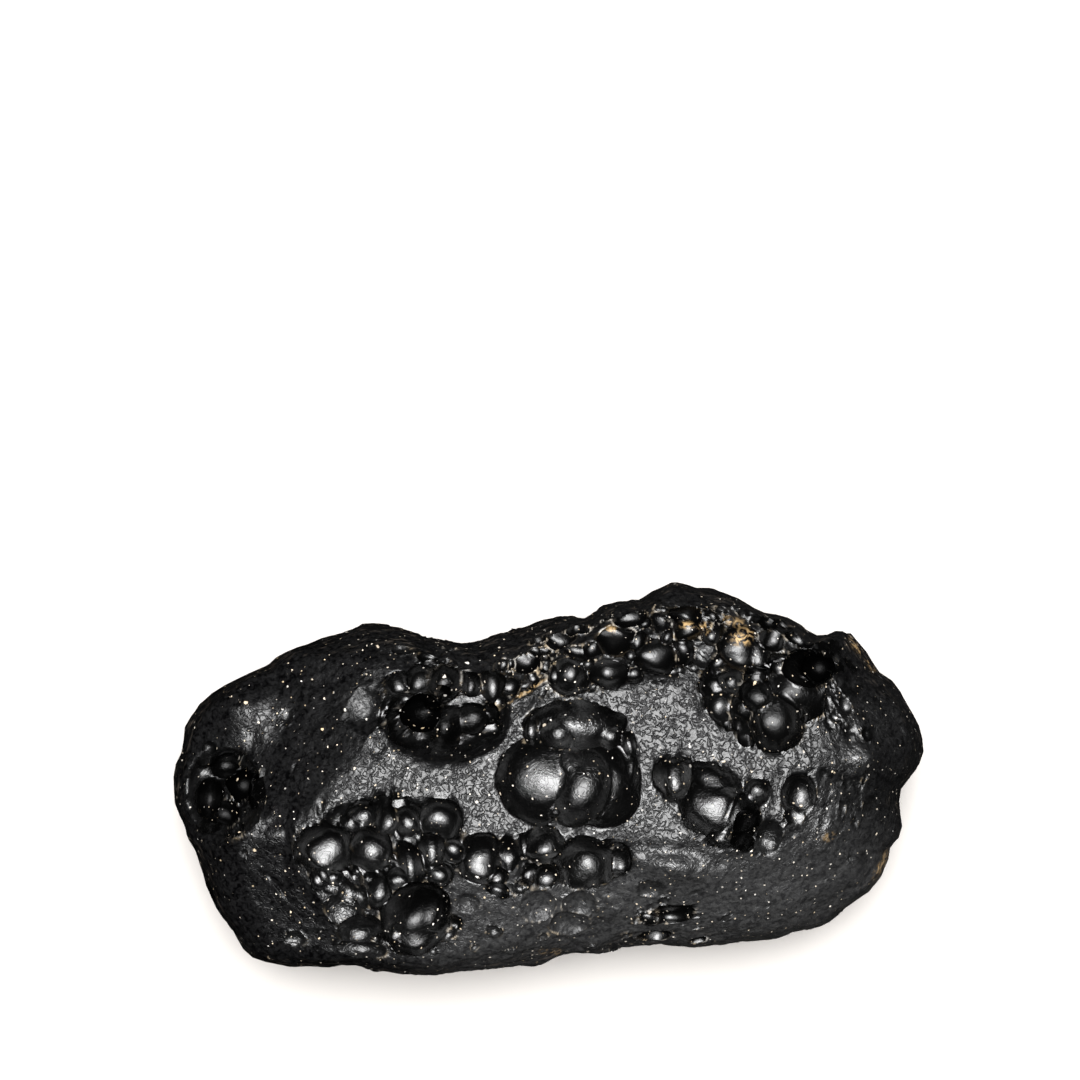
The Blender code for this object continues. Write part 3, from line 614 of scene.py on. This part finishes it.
def foam_bubbles():
    """Seeded bubbles in the oval patches, mostly small, and clear of the placed bubbles."""
    rng = np.random.default_rng(FOAM_SEED)
    found = []
    for patch_x, patch_y, half_x, half_y, turn, count, least, most, depth in FOAM:
        cos_turn = math.cos(math.radians(turn))
        sin_turn = math.sin(math.radians(turn))
        for _ in range(count):
            bearing = math.tau * rng.random()
            share = math.sqrt(rng.random())
            along = share * half_x * math.cos(bearing)
            across = share * half_y * math.sin(bearing)
            x = patch_x + along * cos_turn - across * sin_turn
            y = patch_y + along * sin_turn + across * cos_turn
            if in_a_placed_bubble(x, y):
                continue
            size = least + (most - least) * rng.random() ** 2
            length = size * (1 + FOAM_LONGER * rng.random())
            own_turn = 180 * rng.random()
            own_depth = depth * (FOAM_DEPTH + FOAM_DEPTH_SPREAD * rng.random())
            found.append((x, y, length, size, own_turn, own_depth))
    return found


foam = foam_bubbles()
for x, y, half_length, half_width, turn, depth in foam:
    polish = min(1.0, half_width / POLISHED_FROM)
    press_over(x, y, half_length, half_width, turn, depth, polish)
print("foam bubbles:", len(foam))

# %% [markdown]
# The placed bubbles are pressed in two rounds, because a later bubble can push vertices back into an
# earlier one. A small shallow bubble is only a dent, which keeps the look of the skin. The insides of
# the deeper hollows are marked as most of a wall: they get most of a bubble's polish, and its
# near-black colour as painted shade.

# %% Press the placed bubbles
# A cave is a bubble that lies wholly under the skin and opens only into its neighbours. The last
# number says how deep its middle lies.
CAVES = (
    (21.3, 9.0, 1.6, 1.6, 0, 1.00, 2.10),
    (-8.5, 6.5, 1.5, 1.4, 0, 1.00, 2.00),
    (-21.9, -0.8, 1.7, 1.7, 0, 1.00, 2.00),
    (15.6, -3.7, 1.4, 1.4, 0, 1.00, 1.90),
)
PRESS_ROUNDS = 2
SHADED_HOLLOW_DEPTH = 1.0
HOLLOW_PAINTED_SHADE = 0.75
DENT_SIDE = 1.9
DENT_DEPTHS = (0.34, 0.62)
DENT_POLISH = (0.1, 1.0)

for _ in range(PRESS_ROUNDS):
    for x, y, half_length, half_width, turn, depth in BUBBLES:
        is_small = max(half_length, half_width) < DENT_SIDE
        polish = np.interp(depth, DENT_DEPTHS, DENT_POLISH) if is_small else 1.0
        press_over(x, y, half_length, half_width, turn, depth, polish)
for x, y, half_length, half_width, turn, depth, buried in CAVES:
    spot, _ = skin_point_and_normal(direction_over(x, y))
    press_bubble(spot - buried * UP, UP, half_length, half_width, turn, depth)
# Painted shade: the skin inside the deeper hollows is marked as wall, which colours it nearly black.
for oval_x, oval_y, half_x, half_y, turn, depth in HOLLOWS:
    if depth >= SHADED_HOLLOW_DEPTH:
        away = place_in_oval(points[:, 0], points[:, 1], oval_x, oval_y, half_x, half_y, turn)
        inside = (away < 1) & (points[:, 2] > GIRTH_HEIGHT)
        wall[inside] = np.maximum(wall[inside], HOLLOW_PAINTED_SHADE)
print("polish, summed over the vertices:", int(wall.sum()))

# %% [markdown]
# Little light comes back out of the deepest pits. How far a vertex was moved, added to the depth of
# the hollow that it lies in, says how deep it is, and the material dulls it by that.

# %% Find the deep walls
DEEP_HOLLOW = 1.2
DEEP_POWER = 1.3
DEEP_FROM = 1.6
DEEP_TO = 3.4
HALF_MARK = 0.5

sunk = np.linalg.norm(points - blank_points, axis=1)
for oval_x, oval_y, half_x, half_y, turn, depth in HOLLOWS:
    if depth >= DEEP_HOLLOW:
        away = place_in_oval(points[:, 0], points[:, 1], oval_x, oval_y, half_x, half_y, turn)
        drop = depth ** DEEP_POWER * np.clip(1 - away ** HOLLOW_POWER, 0, 1)
        sunk += np.where(points[:, 2] > GIRTH_HEIGHT, drop, 0)
deep_wall = np.clip((sunk - DEEP_FROM) / (DEEP_TO - DEEP_FROM), 0, 1)
print("deep vertices:", int((deep_wall > HALF_MARK).sum()))

# %% [markdown]
# No bubble is a perfect ball. A slow noise with a direction moves every vertex a little, so that the
# rims and the walls are uneven; the three big bubbles in the middle stay calmer than the rest.

# %% Make the bubbles uneven
# The calm oval: its place, half sizes and turn.
CALM = (1.4, 1.2, 6.2, 6.4, 0)
WOBBLE_SEED = 3
WOBBLE_SIZE = 1.5
WOBBLE_HEIGHT = 0.32
WOBBLE_ON_SKIN = 0.25
WOBBLE_IN_CALM = 0.30

noise.seed_set(WOBBLE_SEED)
calm_away = place_in_oval(points[:, 0], points[:, 1], *CALM)
calm = np.clip(1 - calm_away ** HOLLOW_POWER, 0, 1)
wobble = np.array([noise.noise_vector(Vector(p) / WOBBLE_SIZE) for p in blank_points])
wobble_share = WOBBLE_ON_SKIN + (1 - WOBBLE_ON_SKIN) * wall
wobble_share *= 1 - (1 - WOBBLE_IN_CALM) * calm
points += WOBBLE_HEIGHT * wobble * wobble_share[:, None]
print("largest wobble along an axis, mm:", WOBBLE_HEIGHT * np.abs(wobble).max())

# %% [markdown]
# In some places mineral dust has stained the glass gold and brown. Each stain holds its place, half
# sizes, turn and strength, and fades in from its edge.

# %% Stains of mineral dust
OVAL_EDGE = 1.5
FAINT_MARK = 0.1
STAINS = (
    (15.2, 11.3, 1.1, 0.8, 20, 1.0),
    (12.3, 12.1, 0.6, 0.5, 0, 0.8),
    (10.9, 12.3, 0.8, 0.4, 0, 0.7),
    (5.0, 11.9, 0.6, 0.4, 0, 0.6),
    (21.9, -4.2, 0.7, 0.4, 0, 0.35),
    (24.5, 10.5, 0.4, 1.1, 35, 0.5),
    (25.6, 9.1, 0.3, 0.9, 35, 0.5),
    (26.5, -6.8, 1.7, 0.4, 60, 0.6),
    (14.6, 12.5, 1.2, 0.5, -20, 0.5),
    (0.2, -13.5, 1.0, 0.5, 0, 0.6),
    (-1.5, 7.2, 2.0, 0.15, 33, 0.9),
)


def soft_ovals(rows):
    """The strongest of some soft-edged ovals at each vertex of the upper side."""
    mark = np.zeros(len(points))
    for oval_x, oval_y, half_x, half_y, turn, strength in rows:
        away = place_in_oval(points[:, 0], points[:, 1], oval_x, oval_y, half_x, half_y, turn)
        share = strength * np.clip(OVAL_EDGE * (1 - away), 0, 1)
        mark = np.maximum(mark, np.where(points[:, 2] > GIRTH_HEIGHT, share, 0))
    return mark


stain = soft_ovals(STAINS)
print("stained vertices:", int((stain > FAINT_MARK).sum()))

# %% [markdown]
# Some rough places shine more than the skin round them, and that shine is a painted sheen: extra gloss
# is put on them. They are marked in the same way, and where a bubble's wall lies in one, it loses most
# of its polish and some of its near-black colour.

# %% Rough patches with a sheen
ROUGHER = 0.7
SHEENS = (
    (-14.4, 6.2, 1.6, 1.9, 0, 1.0),
    (10.6, -6.2, 3.2, 1.3, -6, 0.9),
    (24.4, 2.0, 1.9, 1.5, 0, 0.8),
    (-16.0, -10.0, 1.7, 1.5, 0, 0.8),
    (-19.8, -12.4, 1.2, 1.0, 0, 0.8),
    (1.9, 2.0, 1.1, 1.2, 0, 0.8),
    (3.6, 1.2, 1.2, 1.6, -28, 0.5),
    (2.8, 4.7, 2.0, 1.3, 0, 0.8),
    (21.8, -2.4, 2.4, 1.8, 0, 0.7),
    (2.6, -9.0, 2.4, 1.0, -10, 0.6),
)
sheen = soft_ovals(SHEENS)
# Painted sheen too: a lower wall mark lightens the patch's colour and leaves it less polished.
wall *= 1 - ROUGHER * sheen
print("vertices with a sheen:", int((sheen > FAINT_MARK).sum()))

# %% [markdown]
# The sides and the underside have bubbles too. Nobody measured them, so a seeded draw scatters them,
# clear of each other and of the small flat spot that the stone rests on.

# %% The hidden bubbles
HIDDEN_SEED = 11
HIDDEN_COUNT = 34
HIDDEN_LEAST = 0.9
HIDDEN_MOST = 2.6
HIDDEN_TOP = 0.22
HIDDEN_GAP = 1.15
HIDDEN_LIMIT = 4000
HIDDEN_DEPTH = 0.6
HIDDEN_DEPTH_SPREAD = 0.4
SPOT_CLEAR = 5.0
SPOT_STRETCH = 2
SPOT_HEIGHT = 0.8


def hidden_bubbles():
    """Seeded bubbles on the sides and the underside."""
    rng = np.random.default_rng(HIDDEN_SEED)
    found = []
    for _ in range(HIDDEN_LIMIT):
        direction = rng.normal(size=3)
        direction /= np.linalg.norm(direction)
        radius = HIDDEN_LEAST + (HIDDEN_MOST - HIDDEN_LEAST) * rng.random() ** 2
        depth = HIDDEN_DEPTH + HIDDEN_DEPTH_SPREAD * rng.random()
        if direction[2] > HIDDEN_TOP:
            continue
        spot, normal = skin_point_and_normal(direction)
        is_low = spot[2] - radius < SPOT_HEIGHT
        if is_low and math.hypot(spot[0] / SPOT_STRETCH, spot[1]) < SPOT_CLEAR + radius:
            continue
        is_crowded = any(
            np.linalg.norm(spot - other[0]) < HIDDEN_GAP * (radius + other[2]) for other in found
        )
        if is_crowded:
            continue
        found.append((spot, normal, radius, depth))
        if len(found) == HIDDEN_COUNT:
            break
    return found


hidden = hidden_bubbles()
for spot, normal, radius, depth in hidden:
    press_bubble(spot, normal, radius, radius, 0, depth)
print("hidden bubbles:", len(hidden))

# %% [markdown]
# ## The wrinkled skin
# Between the bubbles the glass has a leathery skin, with lumps about half a millimetre across. The
# larger part of it is real relief here, pushed along the normals; the finest part follows in the
# material. Low on the sides the lumps stretch into level flow lines.

# %% Leathery relief
PEEL_SIZE = 0.75
PEEL_HEIGHT = 0.08
PEEL_ON_WALL = 0.15
DENT_SIZE = 2.6
DENT_HEIGHT = 0.12
FLOW_LENGTH = 3.0
FLOW_STEP = 0.55
FLOW_HEIGHT = 0.10
CREASE_ANGLE = 55
RELIEF_ROUGHNESS = 0.9
RELIEF_SPREAD = 2.0
RELIEF_LAYERS = 2
RELIEF_NOISE = (RELIEF_ROUGHNESS, RELIEF_SPREAD, RELIEF_LAYERS)


def write_points():
    """Send the worked points to the mesh, in metres."""
    stone_mesh.vertices.foreach_set("co", (points * MM).astype(np.float32).ravel())
    stone_mesh.update()


def read_normals():
    """The mesh's vertex normals."""
    normals = np.empty(len(points) * 3, np.float32)
    stone_mesh.vertices.foreach_get("normal", normals)
    return normals.reshape(-1, 3).astype(float)


def noise_at(places, sizes):
    """Noise of a few layers at each place, with a size in millimetres for each axis."""
    return np.array([noise.fractal(Vector(p), *RELIEF_NOISE) for p in places / np.array(sizes)])


write_points()
normals = read_normals()
peel = noise_at(points, (PEEL_SIZE, PEEL_SIZE, PEEL_SIZE))
dents = noise_at(points, (DENT_SIZE, DENT_SIZE, DENT_SIZE))
flow = noise_at(points, (FLOW_LENGTH, FLOW_LENGTH, FLOW_STEP))
steepness = 1 - np.clip(np.abs(normals[:, 2]), 0, 1)
relief = PEEL_HEIGHT * peel * (1 - (1 - PEEL_ON_WALL) * wall) + DENT_HEIGHT * dents
relief += FLOW_HEIGHT * flow * steepness * (1 - wall)
points += normals * relief[:, None]
points[:, 2] = np.maximum(points[:, 2], 0)
write_points()
stone_mesh.shade_smooth()
stone_mesh.set_sharp_from_angle(angle=math.radians(CREASE_ANGLE))
print("relief, mm:", relief.min(), relief.max())

# %% [markdown]
# Dust gathers on the sharp ridges between the bubbles. How sharp a place is shows in how its normals
# spread apart, so that is worked out for each vertex, along its edges.

# %% Find the sharp ridges
RIDGE_BEND = 1.6
LEAST_SQUARE = 1e-6

edge_ends = np.empty(len(stone_mesh.edges) * 2, np.int32)
stone_mesh.edges.foreach_get("vertices", edge_ends)
ends = edge_ends.reshape(-1, 2)
normals = read_normals()
step = points[ends[:, 1]] - points[ends[:, 0]]
spread = np.sum((normals[ends[:, 1]] - normals[ends[:, 0]]) * step, axis=1)
spread /= np.maximum(np.sum(step * step, axis=1), LEAST_SQUARE)
bend = np.zeros(len(points))
touches = np.zeros(len(points))
for side in range(2):
    np.add.at(bend, ends[:, side], spread)
    np.add.at(touches, ends[:, side], 1)
bend /= np.maximum(touches, 1)
ridge = np.clip((bend - RIDGE_BEND) / RIDGE_BEND, 0, 1)
print("bend, one over mm:", bend.min(), bend.max())
print("ridge vertices:", int((ridge > HALF_MARK).sum()))

# %% [markdown]
# The marks go onto the mesh as attributes, so that the material can polish the walls, paint shade
# into the deep ones and into the deeper hollows, dust the ridges and colour the stains, whatever
# shape they have.

# %% Keep the marks, and make the object
MARKS = {
    "wall_and_hollow_shade": wall,
    "sharp_ridge": ridge,
    "level_skin": level_skin,
    "steep_skin": steep_skin,
    "deep_wall": deep_wall,
    "stain": stain,
    "sheen": sheen,
}
for mark_name, mark in MARKS.items():
    attribute = stone_mesh.attributes.new(mark_name, "FLOAT", "POINT")
    attribute.data.foreach_set("value", mark.astype(np.float32))
stone = bpy.data.objects.new("tektite_glass", stone_mesh)
bpy.context.scene.collection.objects.link(stone)
print("triangles:", sum(len(p.vertices) - 2 for p in stone_mesh.polygons))

# %% [markdown]
# ## The glass
# Tektite glass is brown only where it is thin, so here it is as good as opaque, and nearly black.

# %% The glass material and its helpers
GLASS_IOR = 1.5

glass = bpy.data.materials.new("tektite_glass")
glass.use_nodes = True
nodes = glass.node_tree.nodes
links = glass.node_tree.links
shader = nodes["Principled BSDF"]
shader.inputs["IOR"].default_value = GLASS_IOR
place = nodes.new("ShaderNodeTexCoord")


def mark_value(mark_name):
    """The value of one of the mesh's marks."""
    node = nodes.new("ShaderNodeAttribute")
    node.attribute_name = mark_name
    return node.outputs["Fac"]


def noise_texture(scale, detail, distortion=0.0):
    """A noise texture on object coordinates, its scale in waves a metre."""
    texture = nodes.new("ShaderNodeTexNoise")
    texture.inputs["Scale"].default_value = scale
    texture.inputs["Detail"].default_value = detail
    texture.inputs["Distortion"].default_value = distortion
    links.new(place.outputs["Object"], texture.inputs["Vector"])
    return texture.outputs["Fac"]


def map_range(value, source=(0.0, 1.0), target=(0.0, 1.0)):
    """A value mapped from one range onto another, and held inside it."""
    node = nodes.new("ShaderNodeMapRange")
    node.inputs["From Min"].default_value = source[0]
    node.inputs["From Max"].default_value = source[1]
    node.inputs["To Min"].default_value = target[0]
    node.inputs["To Max"].default_value = target[1]
    links.new(value, node.inputs["Value"])
    return node.outputs["Result"]


def calculate(operation, first, second):
    """A Math node on a socket and a socket or number."""
    node = nodes.new("ShaderNodeMath")
    node.operation = operation
    links.new(first, node.inputs[0])
    if isinstance(second, (int, float)):
        node.inputs[1].default_value = second
    else:
        links.new(second, node.inputs[1])
    return node.outputs[0]


def mix_colours(share, first, second):
    """Mix two colours, each a socket or a plain colour."""
    node = nodes.new("ShaderNodeMix")
    node.data_type = "RGBA"
    links.new(share, node.inputs["Factor"])
    for socket, colour in ((node.inputs[6], first), (node.inputs[7], second)):
        if isinstance(colour, tuple):
            socket.default_value = colour
        else:
            links.new(colour, socket)
    return node.outputs[2]


print("helpers ready")

# %% [markdown]
# The skin is covered in short curled grooves, like the tracks of worms. A noise crosses its middle
# value along such curled lines, so the grooves lie where it is near one half. With a fine grain and a
# coarser leathery noise they make the bump, which is stronger on the skin than on the walls.

# %% Worm-like grooves
# Each noise: its waves a metre, its detail and its distortion.
WORM_NOISE = (1900, 1, 1.0)
GRAIN_NOISE = (4200, 3)
LEATHER_NOISE = (1300, 3, 0.6)
WORM_MIDDLE = 0.5
WORM_SIDES = (0.015, 0.075)
WORM_DEPTHS = (0.15, 0.8)
GRAIN_DEPTH = 0.45
LEATHER_DEPTH = 2.4
BUMP_DISTANCE = 0.00008
BUMP_STRENGTHS = (0.72, 0.16)

wall_and_shade_mark = mark_value("wall_and_hollow_shade")
level_mark = mark_value("level_skin")
worms = noise_texture(*WORM_NOISE)
worm_line = calculate("ABSOLUTE", calculate("SUBTRACT", worms, WORM_MIDDLE), 0)
worm_height = map_range(worm_line, WORM_SIDES)
worm_height = calculate("MULTIPLY", worm_height, map_range(level_mark, target=WORM_DEPTHS))
grain = calculate("MULTIPLY", noise_texture(*GRAIN_NOISE), GRAIN_DEPTH)
leather = calculate("MULTIPLY", noise_texture(*LEATHER_NOISE), LEATHER_DEPTH)
height = calculate("ADD", calculate("ADD", worm_height, grain), leather)
bump = nodes.new("ShaderNodeBump")
bump.inputs["Distance"].default_value = BUMP_DISTANCE
links.new(map_range(wall_and_shade_mark, target=BUMP_STRENGTHS), bump.inputs["Strength"])
links.new(height, bump.inputs["Height"])
links.new(bump.outputs["Normal"], shader.inputs["Normal"])
print("nodes for the bump:", len(nodes))

# %% [markdown]
# The light hardly finds its way out of a groove, so the gloss is lowered there as painted shade. The
# skin's gloss falls off towards the left end too, except where the skin is level: painted shade. The
# walls lose their gloss with depth, and some of it on the far slope, both as painted shade. The
# patches with a sheen have more gloss on top, a painted sheen.

# %% Gloss
GROOVE_WIDTH = (0.016, 0.048)
GROOVE_GLOSS = (0.30, 0.17)
SKIN_GLOSS = 0.54
LEFT_SHADE_SPAN = (-0.020, 0.020)
LEFT_SHADE_GLOSS = (0.04, 1.0)
WALL_GLOSS = (0.62, 0.04)
FAR_SHADE_SPAN = (0.006, 0.012)
FAR_SHADE_GLOSS = (1.0, 0.60)
PAINTED_SHEEN_GLOSS = 0.45
DOWN = (1.0, 0.0)

groove_dark = map_range(level_mark, target=GROOVE_GLOSS)
groove_share = map_range(worm_line, GROOVE_WIDTH, DOWN)
groove_loss = calculate("SUBTRACT", groove_dark, SKIN_GLOSS)
groove_gloss = calculate("MULTIPLY", groove_share, groove_loss)
groove_gloss = calculate("ADD", groove_gloss, SKIN_GLOSS)
across = nodes.new("ShaderNodeSeparateXYZ")
links.new(place.outputs["Object"], across.inputs["Vector"])
# Painted shade: the skin's gloss falls towards the left end.
left_end_painted_shade = map_range(across.outputs["X"], LEFT_SHADE_SPAN, LEFT_SHADE_GLOSS)
level_gain = calculate("MULTIPLY", map_range(left_end_painted_shade, target=DOWN), level_mark)
groove_gloss = calculate("MULTIPLY", groove_gloss, calculate("ADD", left_end_painted_shade, level_gain))
deep_gloss = map_range(mark_value("deep_wall"), target=WALL_GLOSS)
wall_gloss = calculate("MULTIPLY", wall_and_shade_mark, deep_gloss)
# Painted shade: the walls' gloss is lowered towards the far side.
far_slope_painted_shade = map_range(across.outputs["Y"], FAR_SHADE_SPAN, FAR_SHADE_GLOSS)
wall_gloss = calculate("MULTIPLY", wall_gloss, far_slope_painted_shade)
skin_gloss = calculate("MULTIPLY", groove_gloss, map_range(wall_and_shade_mark, target=DOWN))
gloss = calculate("ADD", skin_gloss, wall_gloss)
# Painted sheen: the marked patches get extra gloss.
gloss = calculate("ADD", gloss, calculate("MULTIPLY", mark_value("sheen"), PAINTED_SHEEN_GLOSS))
links.new(gloss, shader.inputs["Specular IOR Level"])
print("nodes for the bump and the gloss:", len(nodes))

# %% [markdown]
# The walls of the bubbles are smoother than the skin.

# %% Roughness
ROUGHNESSES = (0.38, 0.24)

roughness = map_range(wall_and_shade_mark, target=ROUGHNESSES)
links.new(roughness, shader.inputs["Roughness"])
print("roughness of the skin and of the walls:", ROUGHNESSES)

# %% [markdown]
# Pale grains sit in the glass and on it. Each texture cell can hold one; a random value a cell says
# how large it is, so that many cells hold none and a few hold a big one. A noise bends the cells, so
# that the grains aren't round.

# %% Pale grains
# Each layer: its cells a metre, its largest grain as a share of a cell, and its rarity.
COARSE_GRAINS = (1150, 0.18, 5)
FINE_GRAINS = (2700, 0.26, 3.2)
GRAIN_BEND = 0.5
GRAIN_EDGE = (0.0, 0.05)
GRAIN_STRENGTHS = (0.25, 1.0)
TAN_GRAIN = (0.62, 0.48, 0.30, 1)
PALE_GRAIN = (0.80, 0.77, 0.72, 1)
RIDGE_NOISE = (900, 2)
RIDGE_SPAN = (0.48, 0.60)
RIDGE_DUST = (0.02, 0.45)


def grain_layer(scale, largest, rarity):
    """A mask of scattered grains and a random value for each: a high rarity leaves few big ones."""
    bent = nodes.new("ShaderNodeTexNoise")
    bent.inputs["Scale"].default_value = scale * 2
    links.new(place.outputs["Object"], bent.inputs["Vector"])
    shifted = nodes.new("ShaderNodeVectorMath")
    shifted.operation = "MULTIPLY_ADD"
    links.new(bent.outputs["Color"], shifted.inputs[0])
    shifted.inputs[1].default_value = (GRAIN_BEND / scale,) * 3
    links.new(place.outputs["Object"], shifted.inputs[2])
    cells = nodes.new("ShaderNodeTexVoronoi")
    cells.inputs["Scale"].default_value = scale
    links.new(shifted.outputs["Vector"], cells.inputs["Vector"])
    parts = nodes.new("ShaderNodeSeparateColor")
    links.new(cells.outputs["Color"], parts.inputs["Color"])
    size = calculate("MULTIPLY", calculate("POWER", parts.outputs["Red"], rarity), largest)
    inside = calculate("SUBTRACT", size, cells.outputs["Distance"])
    strength = map_range(parts.outputs["Blue"], target=GRAIN_STRENGTHS)
    mask = calculate("MULTIPLY", map_range(inside, GRAIN_EDGE), strength)
    return mask, parts.outputs["Green"]


coarse_mask, coarse_draw = grain_layer(*COARSE_GRAINS)
fine_mask, _ = grain_layer(*FINE_GRAINS)
ridge_noise = map_range(noise_texture(*RIDGE_NOISE), RIDGE_SPAN, RIDGE_DUST)
ridge_dust = calculate("MULTIPLY", mark_value("sharp_ridge"), ridge_noise)
grain_mask = calculate("MAXIMUM", calculate("MAXIMUM", coarse_mask, fine_mask), ridge_dust)
grain_colour = mix_colours(coarse_draw, TAN_GRAIN, PALE_GRAIN)
print("nodes with the grains:", len(nodes))

# %% [markdown]
# The skin is mottled, and its colour is painted lighter on the near side, from left of the middle to
# the right end: painted light. Steep skin has faint tan flow lines, the walls are nearly black, and
# the stains lie over both.

# %% Colour of the glass
PLAIN_SKIN_DARK = (0.0006, 0.0006, 0.0007, 1)
PLAIN_SKIN_LIGHT = (0.0065, 0.0065, 0.0067, 1)
PAINTED_LIGHT_DARK = (0.010, 0.010, 0.0105, 1)
PAINTED_LIGHT_BRIGHT = (0.031, 0.031, 0.031, 1)
FLOW_COLOUR = (0.060, 0.050, 0.041, 1)
WALL_COLOUR = (0.0004, 0.0004, 0.0004, 1)
STAIN_COLOUR = (0.50, 0.33, 0.15, 1)
FLOW_WAVES = (800, 800, 3000)
FLOW_SPAN = (0.58, 0.74)
FLOW_STRENGTHS = (0.0, 0.7)
MOTTLE_NOISE = (2600, 4, 0.8)
MOTTLE_SPAN = (0.36, 0.64)
PAINTED_LIGHT_SPAN_X = (-0.014, -0.004)
PAINTED_LIGHT_SPAN_Y = (-0.002, -0.008)
STAIN_NOISE = (1700, 5, 1.0)
STAIN_SPAN = (0.46, 0.62)

stretch = nodes.new("ShaderNodeMapping")
stretch.inputs["Scale"].default_value = FLOW_WAVES
links.new(place.outputs["Object"], stretch.inputs["Vector"])
flow_noise = nodes.new("ShaderNodeTexNoise")
flow_noise.inputs["Scale"].default_value = 1.0
links.new(stretch.outputs["Vector"], flow_noise.inputs["Vector"])
flow_line = map_range(flow_noise.outputs["Fac"], FLOW_SPAN, FLOW_STRENGTHS)
flow_line = calculate("MULTIPLY", flow_line, mark_value("steep_skin"))
mottle = map_range(noise_texture(*MOTTLE_NOISE), MOTTLE_SPAN)
# Painted light: the skin's colour is lighter towards the right end and the near side.
painted_light_along = map_range(across.outputs["X"], PAINTED_LIGHT_SPAN_X)
painted_light_near = map_range(across.outputs["Y"], PAINTED_LIGHT_SPAN_Y)
painted_light_side = calculate("MULTIPLY", painted_light_along, painted_light_near)
plain_skin_colour = mix_colours(mottle, PLAIN_SKIN_DARK, PLAIN_SKIN_LIGHT)
painted_light_colour = mix_colours(mottle, PAINTED_LIGHT_DARK, PAINTED_LIGHT_BRIGHT)
skin_colour = mix_colours(painted_light_side, plain_skin_colour, painted_light_colour)
skin_colour = mix_colours(flow_line, skin_colour, FLOW_COLOUR)
# The wall mark also carries the painted shade of the deeper hollows into this near-black colour.
glass_colour = mix_colours(wall_and_shade_mark, skin_colour, WALL_COLOUR)
stain_noise = map_range(noise_texture(*STAIN_NOISE), STAIN_SPAN)
stain_mask = calculate("MULTIPLY", mark_value("stain"), stain_noise)
glass_colour = mix_colours(stain_mask, glass_colour, STAIN_COLOUR)
colour = mix_colours(grain_mask, glass_colour, grain_colour)
links.new(colour, shader.inputs["Base Color"])
stone_mesh.materials.append(glass)
print("material nodes:", len(nodes))

# %% [markdown]
# ## Floor, light and camera
# The stone lies on a matt light floor. The floor doesn't show in the glass, whose walls would lose
# their black otherwise.

# %% The floor
FLOOR_HALF = 1.5
FLOOR_COLOUR = (0.60, 0.575, 0.55, 1)
FLOOR_ROUGHNESS = 0.9

bm = bmesh.new()
bmesh.ops.create_grid(bm, x_segments=1, y_segments=1, size=FLOOR_HALF)
floor_mesh = bpy.data.meshes.new("floor")
bm.to_mesh(floor_mesh)
bm.free()
floor = bpy.data.objects.new("floor", floor_mesh)
bpy.context.scene.collection.objects.link(floor)
floor_paint = bpy.data.materials.new("floor_paint")
floor_paint.use_nodes = True
floor_shader = floor_paint.node_tree.nodes["Principled BSDF"]
floor_shader.inputs["Base Color"].default_value = FLOOR_COLOUR
floor_shader.inputs["Roughness"].default_value = FLOOR_ROUGHNESS
floor_mesh.materials.append(floor_paint)
floor.visible_glossy = False
print("floor half width, metres:", FLOOR_HALF)

# %% [markdown]
# A broad softbox with a brighter core hangs over the stone, a little towards the far side. Each row
# holds a light's name, place, width and power, in metres and watts.

# %% The lights
LIGHTS = (
    ("softbox", (0.0, 0.11, 0.60), 0.80, 6.3),
    ("softbox_core", (0.0, 0.10, 0.58), 0.36, 6.0),
)
LIGHT_AIM = (0, 0, 0.01)
STUDIO_COLOUR = (0.008, 0.008, 0.008, 1)

for name, light_at, width, power in LIGHTS:
    light = bpy.data.lights.new(name, "AREA")
    light.shape = "DISK"
    light.size = width
    light.energy = power
    lamp = bpy.data.objects.new(name, light)
    bpy.context.scene.collection.objects.link(lamp)
    lamp.location = light_at
    lamp.rotation_euler = (Vector(LIGHT_AIM) - Vector(light_at)).to_track_quat("-Z", "Y").to_euler()
world = bpy.data.worlds.new("studio")
bpy.context.scene.world = world
world.use_nodes = True
world.node_tree.nodes["Background"].inputs["Color"].default_value = STUDIO_COLOUR
bpy.context.scene.view_settings.view_transform = "Standard"
print("lights:", len(LIGHTS))

# %% [markdown]
# The camera looks straight down through a long lens. Its distance is the one at which the picture
# has the frame's width, in millimetres, at the height of the girth. It is set off to the far side, so
# that the stone lies in the lower part of the picture.

# %% The camera
FRAME_WIDTH = 86.4
CAMERA_X = -0.6
CAMERA_Y = 18.92
LENS = 150
SENSOR = 36

camera_data = bpy.data.cameras.new("camera")
camera_data.lens = LENS
camera_data.sensor_width = SENSOR
camera = bpy.data.objects.new("camera", camera_data)
bpy.context.scene.collection.objects.link(camera)
distance = FRAME_WIDTH * LENS / SENSOR
camera.location = Vector((CAMERA_X, CAMERA_Y, distance + GIRTH_HEIGHT)) * MM
bpy.context.scene.camera = camera
print("camera above the girth, mm:", distance)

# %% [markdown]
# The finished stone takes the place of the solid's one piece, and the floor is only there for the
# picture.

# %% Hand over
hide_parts("tektite")
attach(stone, "root")
